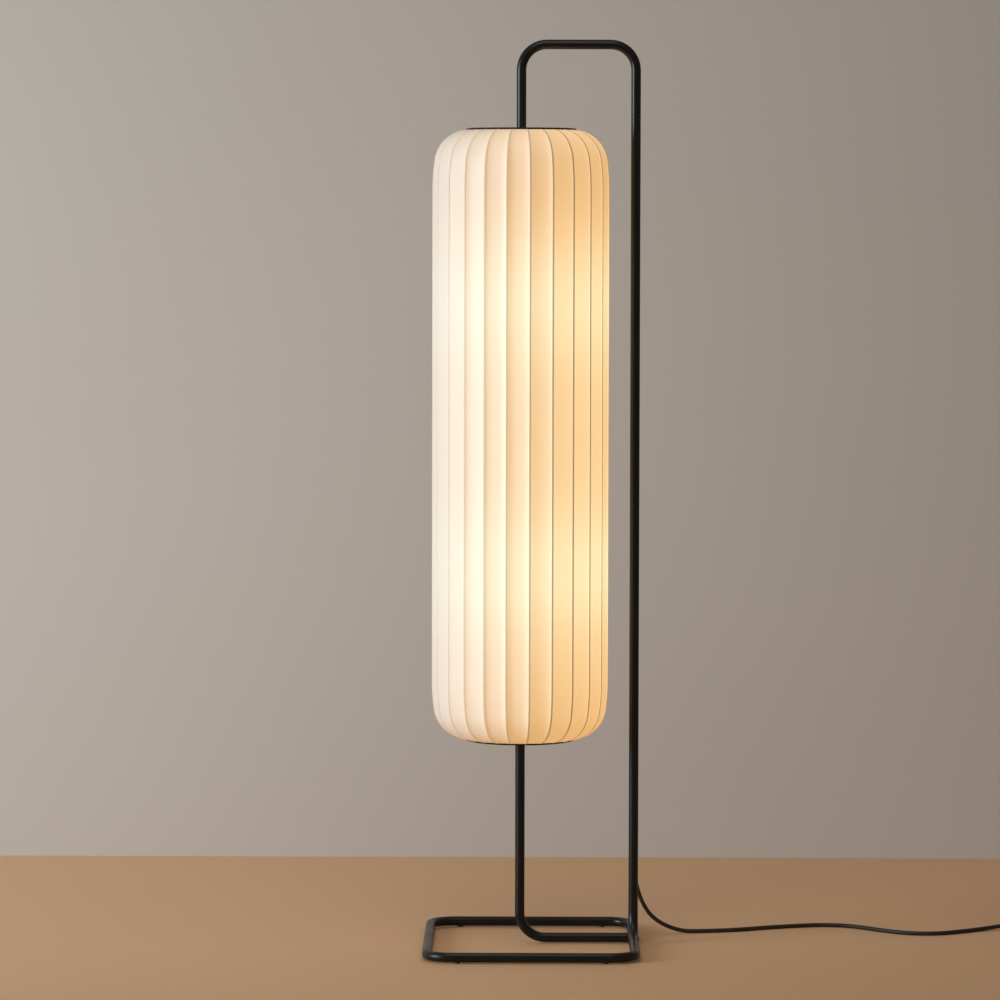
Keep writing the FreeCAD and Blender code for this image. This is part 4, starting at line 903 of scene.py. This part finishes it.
@dataclass
class TubeFrame:
    """Welds of the bent tube frame, beside the bend where the post turns into the base."""

    post: Pair = (170.0, 20.0)
    rail_height: float = 9.5
    tube_radius: float = 8.0
    bend_radius: float = 42.0
    foot_end: float = -40.0
    rail_end: float = -1.0
    bead: float = 1.4
    dressed_bead: float = 0.9
    dressed_in: float = 0.6
    saddle_round: float = 0.03
    bead_out: float = 0.3
    bead_off: float = 0.35
    ripple: float = 0.15
    ripples: int = 44
    bead_steps: int = 176
    lowest: float = 0.4

    def ring(self, thickness: float) -> tuple[Array, Array, Array]:
        """Parameters of a bead.

        Args:
            thickness: its mean radius.

        Returns:
            Angles along it, angles round it, and its radius, which ripples along it.
        """
        along = full_turn(self.bead_steps)[:, None]
        round_ = full_turn(BEAD_STEPS)[None, :]
        return along, round_, thickness * (1 + self.ripple * np.sin(self.ripples * along))

    def round_rail(self, y: Array, reach: Array, along: Array) -> Array:
        """Points round the right-hand rail, kept above the floor.

        Args:
            y: their places along the rail.
            reach: their distances from its axis.
            along: their angles round it.

        Returns:
            A grid of points.
        """
        x = self.post[0] + reach * np.cos(along)
        height = np.maximum(self.rail_height + reach * np.sin(along), self.lowest)
        return np.stack(np.broadcast_arrays(x, y, height), axis=-1)

    def foot_bead(self) -> Array:
        """A low bead round the butt joint of foot and rail, dressed nearly flush.

        Returns:
            A grid that closes both ways.
        """
        along, round_, thick = self.ring(self.dressed_bead)
        reach = self.tube_radius + thick * (np.cos(round_) - self.dressed_in)
        return self.round_rail(self.foot_end + thick * np.sin(round_), reach, along)

    def rail_bead(self) -> Array:
        """A bead round the end of the rail, on the back of the post's bend.

        Above its axis the rail meets the bend at a distance, forward of the post, that is
        the root of four times both radii times the sine; below, it is cut off square.

        Returns:
            A grid that closes both ways.
        """
        along, round_, thick = self.ring(self.bead)
        rise = np.maximum(np.sin(along), 0.0)
        start = self.post[1] - self.bend_radius
        meet = start + np.sqrt(4 * self.bend_radius * self.tube_radius * rise)
        y = np.maximum(meet, self.rail_end) + self.bead_off * self.bead + thick * np.sin(round_)
        reach = self.tube_radius + self.bead_out * self.bead + thick * np.cos(round_)
        return self.round_rail(y, reach, along)

    def return_bead(self) -> Array:
        """A bead round the end of the return tube, on the saddle where it meets the rail.

        The saddle goes in with the sine of the angle round the tube, rounded off at the
        two places where it would come to a point.

        Returns:
            A grid that closes both ways.
        """
        along, round_, thick = self.ring(self.bead)
        reach = self.tube_radius + self.bead_out * self.bead + thick * np.cos(round_)
        saddle = self.tube_radius * np.sqrt(np.sin(along) ** 2 + self.saddle_round)
        x = self.post[0] - saddle - self.bead_off * self.bead - thick * np.sin(round_)
        height = np.maximum(self.rail_height + reach * np.cos(along), self.lowest)
        y = self.post[1] + reach * np.sin(along)
        return np.stack(np.broadcast_arrays(x, y, height), axis=-1)

    def build(self) -> None:
        """Makes the three beads."""
        beads = {
            "foot_weld": self.foot_bead(),
            "rail_weld": self.rail_bead(),
            "return_weld": self.return_bead(),
        }
        for name, grid in beads.items():
            Piece(name, Body.FRAME, "black_tube").from_grids([grid], True)


@dataclass(frozen=True)
class Sleeve:
    """A tapered sleeve round the cord, on which relief rings stand."""

    start: Point
    axis: Axis
    length: float
    radii: Pair
    count: int
    bead: float = 0.75

    def rings(self) -> list[Array]:
        """The rings, evenly spaced and as wide as the sleeve is there.

        Returns:
            A grid for each ring.
        """
        shares = (np.arange(self.count) + 1) / (self.count + 1)
        radii = self.radii[0] + (self.radii[1] - self.radii[0]) * shares
        centres = np.tile(np.array(self.start), (self.count, 1))
        centres[:, self.axis.value[0]] += self.length * shares
        return [torus(tuple(c), self.axis, r, self.bead) for c, r in zip(centres, radii)]


@dataclass(frozen=True)
class ButtonSpring:
    """The wire spring under the foot switch's button, made in its rest shape; the real one flattens as the
    button goes down.
    """

    place: Pair = (880.0, 190.0)
    low: float = 8.2
    high: float = 16.0
    radius: float = 6.0
    wire: float = 0.5
    turns: float = 4.5
    end_turn: float = 0.5
    rows: int = 240
    travel: float = 3.0

    def coil(self) -> Array:
        """A helix that climbs evenly but for a flat half turn at each end.

        Returns:
            A grid that closes round the wire and is open at its two ends.
        """
        share = np.linspace(0, 1, self.rows)[:, None]
        section = full_turn(WIRE_STEPS)[None, :]
        turn = 2 * math.pi * self.turns * share
        flat = self.end_turn / self.turns
        climb = np.clip((share - flat) / (1 - 2 * flat), 0, 1)
        reach = self.radius + self.wire * np.cos(section)
        height = self.low + self.wire + (self.high - self.low - 2 * self.wire) * climb
        return polar(self.place, reach, turn, height + self.wire * np.sin(section))

    def build(self) -> str:
        """Makes the spring in place of the plain solid.

        Returns:
            The piece's name.
        """
        piece = Piece("button_spring", Body.FRAME, "spring_steel")
        spring = piece.from_grids([self.coil()], False)
        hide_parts("switch_spring")
        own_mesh(spring)
        return spring.name


@dataclass
class CordFittings:
    """Moulded relief on what the cord passes through: gland, foot switch and plug."""

    gland: Sleeve = Sleeve((170.0, 31.0, 125.0), Axis.Y, 26.0, (7.0, 4.6), 5)
    inlet: Sleeve = Sleeve((838.0, 190.0, 7.0), Axis.X, 7.0, (4.8, 4.8), 2, 0.6)
    outlet: Sleeve = Sleeve((915.0, 190.0, 7.0), Axis.X, 7.0, (4.8, 4.8), 2, 0.6)
    plug: Sleeve = Sleeve((867.1, 100.0, 7.0), Axis.X, 22.0, (5.75, 4.6), 4, 0.7)
    spring: ButtonSpring = ButtonSpring()
    switch_joint: float = 12.0
    switch_round: float = 18.0
    switch_half: float = 17.0
    switch_top: float = 22.0
    button_top: float = 26.0
    parting_bead: float = 0.4
    bezel_radius: float = 12.8
    bezel_bead: float = 0.9
    ring_bead: float = 0.5
    button_rings: tuple[float, ...] = (3.0, 5.7, 8.4)
    plug_top: float = 14.0
    grip_places: tuple[float, ...] = (846.0, 850.0, 854.0, 858.0, 862.0)
    plug_shoulder: float = 843.1
    plug_half: float = 17.0
    plug_taper: float = 10.0 / 24.0
    grip_inset: float = 3.4
    grip_bead: float = 0.7

    def grips(self) -> list[Array]:
        """Bars across the upper side of the plug, shorter as it narrows.

        Returns:
            A grid for each bar.
        """
        y = self.plug.start[1]
        places = np.array(self.grip_places)
        halves = self.plug_half - self.plug_taper * (places - self.plug_shoulder) - self.grip_inset
        pairs = zip(self.grip_places, halves)
        return [bar((x, y, self.plug_top), Axis.Y, half, self.grip_bead) for x, half in pairs]

    def switch_rings(self) -> tuple[list[Array], list[Array]]:
        """Fine rings on the foot switch.

        Returns:
            Parting line and bezel of its shells, and the rings on its button.
        """
        middle = self.spring.place
        joint = (*middle, self.switch_joint)
        parting = torus(joint, Axis.Z, self.switch_round, self.parting_bead, self.switch_half)
        bezel = torus((*middle, self.switch_top), Axis.Z, self.bezel_radius, self.bezel_bead)
        top = (*middle, self.button_top)
        return [parting, bezel], [torus(top, Axis.Z, r, self.ring_bead) for r in self.button_rings]

    def build(self) -> list[str]:
        """Makes the fittings.

        Returns:
            Names of those that lie on the cord.
        """
        switch, plug = "switch_plastic", "plug_plastic"
        boots = self.inlet.rings() + self.outlet.rings()
        lines, rings = self.switch_rings()
        Piece("gland_rings", Body.FRAME, "black_plastic").from_grids(self.gland.rings(), True)
        on_cord = [
            Piece("boot_rings", Body.FRAME, switch).from_grids(boots, True),
            Piece("switch_lines", Body.FRAME, switch).from_grids(lines, True),
            Piece("button_rings", Body.BUTTON, switch).from_grids(rings, True),
            Piece("relief_rings", Body.FRAME, plug).from_grids(self.plug.rings(), True),
            Piece("plug_grips", Body.FRAME, plug).from_grids(self.grips(), False),
        ]
        return [obj.name for obj in on_cord] + [self.spring.build()]


@dataclass
class Lampholders:
    """Grip ribs round the upper halves of the two lampholders."""

    axis: Pair = (46.0, 20.0)
    feet: Pair = (1001.0, 541.0)
    radius: float = 19.5
    low: float = 29.0
    high: float = 51.0
    ribs: int = 28
    thick: float = 0.7

    def build(self) -> None:
        """Makes the ribs of both holders as one piece each."""
        half, middle = (self.high - self.low) / 2, (self.high + self.low) / 2
        for name, foot in zip(("upper_grip", "lower_grip"), self.feet):
            places = polar(self.axis, self.radius, full_turn(self.ribs), foot + middle)
            grids = [bar(tuple(place), Axis.Z, half, self.thick) for place in places]
            Piece(name, Body.FRAME, "holder_plastic").from_grids(grids, False)


@dataclass
class MainsCord:
    """The cord from its gland over the floor, through the foot switch, to the coil and plug."""

    diameter: float = 7.0
    length: float = 2137.0
    exit: Point = (170.0, 57.0, 125.0)
    coil_centre: Pair = (963.5, 145.0)
    coil_radius: float = 45.0
    coil_step: float = 3.8
    low_layer: float = 5.4
    high_layer: float = 13.0
    half_turns: int = 9
    half_points: int = 8
    section_steps: int = 4
    curve_steps: int = 6
    on_cord: tuple[str, ...] = (
        "coil_tie",
        "switch_lower_shell",
        "switch_upper_shell",
        "switch_contacts",
        "switch_spring",
        "switch_button",
        "plug_body",
        "plug_pins",
    )
    to_switch: tuple[Point, ...] = (
        (170.0, 48.0, 125.0),
        (170.0, 91.0, 125.0),
        (174.0, 117.0, 100.7),
        (183.4, 122.0, 60.6),
        (205.4, 126.0, 24.8),
        (250.2, 132.0, 3.5),
        (294.2, 137.0, 3.5),
        (345.0, 149.0, 3.5),
        (399.8, 179.0, 3.5),
        (455.9, 202.0, 3.5),
        (503.3, 213.0, 3.5),
        (548.1, 199.0, 3.5),
        (584.8, 158.0, 3.5),
        (632.3, 118.0, 3.5),
        (681.7, 112.0, 3.5),
        (727.1, 140.0, 3.5),
        (769.9, 173.0, 3.5),
        (806.0, 190.0, 7.0),
        (838.0, 190.0, 7.0),
        (922.0, 190.0, 7.0),
        (934.5, 190.0, 7.0),
        (943.0, 190.0, 5.4),
        (956.0, 190.0, 5.4),
    )
    to_plug: tuple[Point, ...] = (
        (950.0, 100.0, 13.0),
        (923.9, 100.0, 13.0),
        (905.7, 100.0, 7.0),
        (884.0, 100.0, 7.0),
    )

    def coil(self) -> Array:
        """Control points of the coil: half turns whose radius steps in, climbs, and steps out.

        A spline of order three runs inside its points by a fixed share, so they
        stand that much further out.

        Returns:
            An array of points in millimetres.
        """
        half = np.repeat(np.arange(self.half_turns), self.half_points)
        step = np.tile(np.arange(self.half_points) + 0.5, self.half_turns) / self.half_points
        inmost = self.half_turns // 2
        radius = self.coil_radius - self.coil_step * (inmost - np.abs(half - inmost))
        turn = math.pi / 2 - math.pi * (half + step)
        wide = radius / (0.75 + 0.25 * math.cos(math.pi / self.half_points))
        shift = np.where(half % 2 == 0, 0.0, np.where(half < inmost, -1.0, 1.0)) * self.coil_step
        climb = np.clip(half + step - inmost, 0.0, 1.0)
        height = self.low_layer + (self.high_layer - self.low_layer) * climb ** 2 * (3 - 2 * climb)
        return polar(self.coil_centre, wide, turn, height) + np.outer(shift, (0, 1, 0))

    def build(self, fittings: list[str]) -> None:
        """Args:
            fittings: names of the new pieces that lie on the cord; not used.
        """
        points = np.concatenate([self.to_switch, self.coil(), self.to_plug]) * MM
        curve = bpy.data.curves.new("mains_cord", "CURVE")
        curve.dimensions = "3D"
        curve.bevel_depth = self.diameter / 2 * MM
        curve.bevel_resolution = self.section_steps
        curve.resolution_u = self.curve_steps
        curve.use_fill_caps = True
        spline = curve.splines.new("NURBS")
        spline.points.add(len(points) - 1)
        spline.points.foreach_set("co", np.c_[points, np.ones(len(points))].ravel())
        spline.order_u = 3
        spline.use_endpoint_u = True
        cord = Piece("mains_cord", Body.FRAME, "cord_sheath").place(curve)
        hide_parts("cord_run", "cord_coil")


@dataclass(frozen=True)
class SoftLight:
    """A square soft light: where it stands, what it looks at, and how wide it opens."""

    name: str
    place: Point
    aim: Point
    size: float
    watts: float
    colour: Colour
    spread: float = 180.0


@dataclass
class Studio:
    """A plain floor and wall, soft light from the left, and the camera."""

    camera_place: Point = (-0.003, -7.98, 1.21)
    camera_pixels: float = 4833.5
    camera_down: float = 3.367
    camera_left: float = 0.359
    camera_roll: float = 0.115
    sensor: float = 36.0
    image_width: float = 1000.0
    wall_distance: float = 1.1
    half_width: float = 6.0
    near_edge: float = -9.0
    wall_height: float = 5.0
    floor_paint: StagePaint = StagePaint("stage_floor", (0.9, 0.55, 0.3), (0.86, 0.52, 0.281), 0.6)
    wall_paint: StagePaint = StagePaint("stage_wall", (0.69, 0.625, 0.566), (0.66, 0.6, 0.545), 0.8)
    sky_seen: Colour = (0.2, 0.176, 0.152)
    sky_light: Colour = (1.0, 0.97, 0.94)
    sky_strength: float = 0.09
    lights: tuple[SoftLight, ...] = (
        SoftLight("window", (-4.18, -1.52, 1.3), (-0.75, 0.75, 0.8), 1.7, 45.0, (0.78, 0.905, 1.0), 100.0),
        SoftLight("overhead", (-0.3, -1.5, 3.8), (0.0, 0.0, 0.8), 2.0, 20.0, (1.0, 0.93, 0.82)),
    )

    def camera(self) -> None:
        """A long lens at the height and side that the view was taken from."""
        data = bpy.data.cameras.new("camera")
        data.sensor_width = self.sensor
        data.lens = self.camera_pixels * self.sensor / self.image_width
        data.clip_end = 100.0
        camera = put("camera", data)
        camera.location = self.camera_place
        aim = Euler((math.radians(90 - self.camera_down), 0, math.radians(self.camera_left))).to_matrix()
        camera.rotation_euler = (aim @ Matrix.Rotation(math.radians(self.camera_roll), 3, "Z")).to_euler()
        bpy.context.scene.camera = camera

    def sheet(self, name: str, corners: list[Point], finish: Finish) -> None:
        """A flat rectangle of the stage.

        Args:
            name: its name.
            corners: its four corners, in metres, turning left as seen from the front.
            finish: its paint.
        """
        mesh = bpy.data.meshes.new(name)
        mesh.from_pydata(corners, [], [(0, 1, 2, 3)])
        mesh.materials.append(finish.build())
        put(name, mesh)

    def lamp(self, light: SoftLight) -> None:
        """Puts a square soft light into the scene.

        Args:
            light: its place, aim and strength.
        """
        data = bpy.data.lights.new(light.name, "AREA")
        data.size = light.size
        data.energy = light.watts
        data.color = light.colour
        data.spread = math.radians(light.spread)
        lamp = put(light.name, data)
        lamp.location = light.place
        aim = Vector(light.aim) - Vector(light.place)
        lamp.rotation_euler = aim.to_track_quat("-Z", "Y").to_euler()

    def sky(self) -> None:
        """A dim even world, which the camera, mirrors and glass see in the wall's tone."""
        world = bpy.data.worlds.new("studio")
        bpy.context.scene.world = world
        graph = Graph(world)
        rays = graph.node("LightPath").outputs
        seen = Value(graph, rays["Is Camera Ray"]) + rays["Is Glossy Ray"] + rays["Is Transmission Ray"]
        dim = {"Color": (*self.sky_light, 1.0), "Strength": self.sky_strength}
        wall = {"Color": (*self.sky_seen, 1.0)}
        shades = [graph.node("Background", sockets).outputs[0] for sockets in (dim, wall)]
        mix = graph.node("MixShader", {0: seen, 1: shades[0], 2: shades[1]})
        graph.node("OutputWorld", {"Surface": mix.outputs[0]})

    def build(self) -> None:
        """Makes the stage, the lights and the camera."""
        bpy.context.scene.view_settings.view_transform = "Standard"
        self.camera()
        w, back, near, top = self.half_width, self.wall_distance, self.near_edge, self.wall_height
        floor = [(-w, near, 0), (w, near, 0), (w, back, 0), (-w, back, 0)]
        wall = [(-w, back, 0), (w, back, 0), (w, back, top), (-w, back, top)]
        self.sheet("floor", floor, self.floor_paint)
        self.sheet("wall", wall, self.wall_paint)
        for light in self.lights:
            self.lamp(light)
        self.sky()


@dataclass
class PackedParts:
    """The lamp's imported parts, dressed in the finish of the slot that each one names."""

    frame: dict

    def dress(self) -> None:
        """Gives each part the material of its slot."""
        made: dict[str, Material] = {}
        for entry in self.frame["record"]["subparts"]:
            node, slot = entry["node"], entry["material_slot"]
            if slot not in FINISHES:
                continue
            if slot not in made:
                made[slot] = FINISHES[slot].build()
            part = self.frame["nodes"][node]
            part.data.materials.clear()
            part.data.materials.append(made[slot])
            log.info("%s wears %s", node, made[slot].name)


def main() -> None:
    """Builds the lamp's looks in order."""
    logging.basicConfig(level=logging.INFO, format="%(message)s")
    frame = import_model()
    Studio().build()
    MainsCord().build(CordFittings().build())
    PackedParts(frame).dress()
    SilkShade().build()
    TubeFrame().build()
    Lampholders().build()


if __name__ == "__main__":
    main()
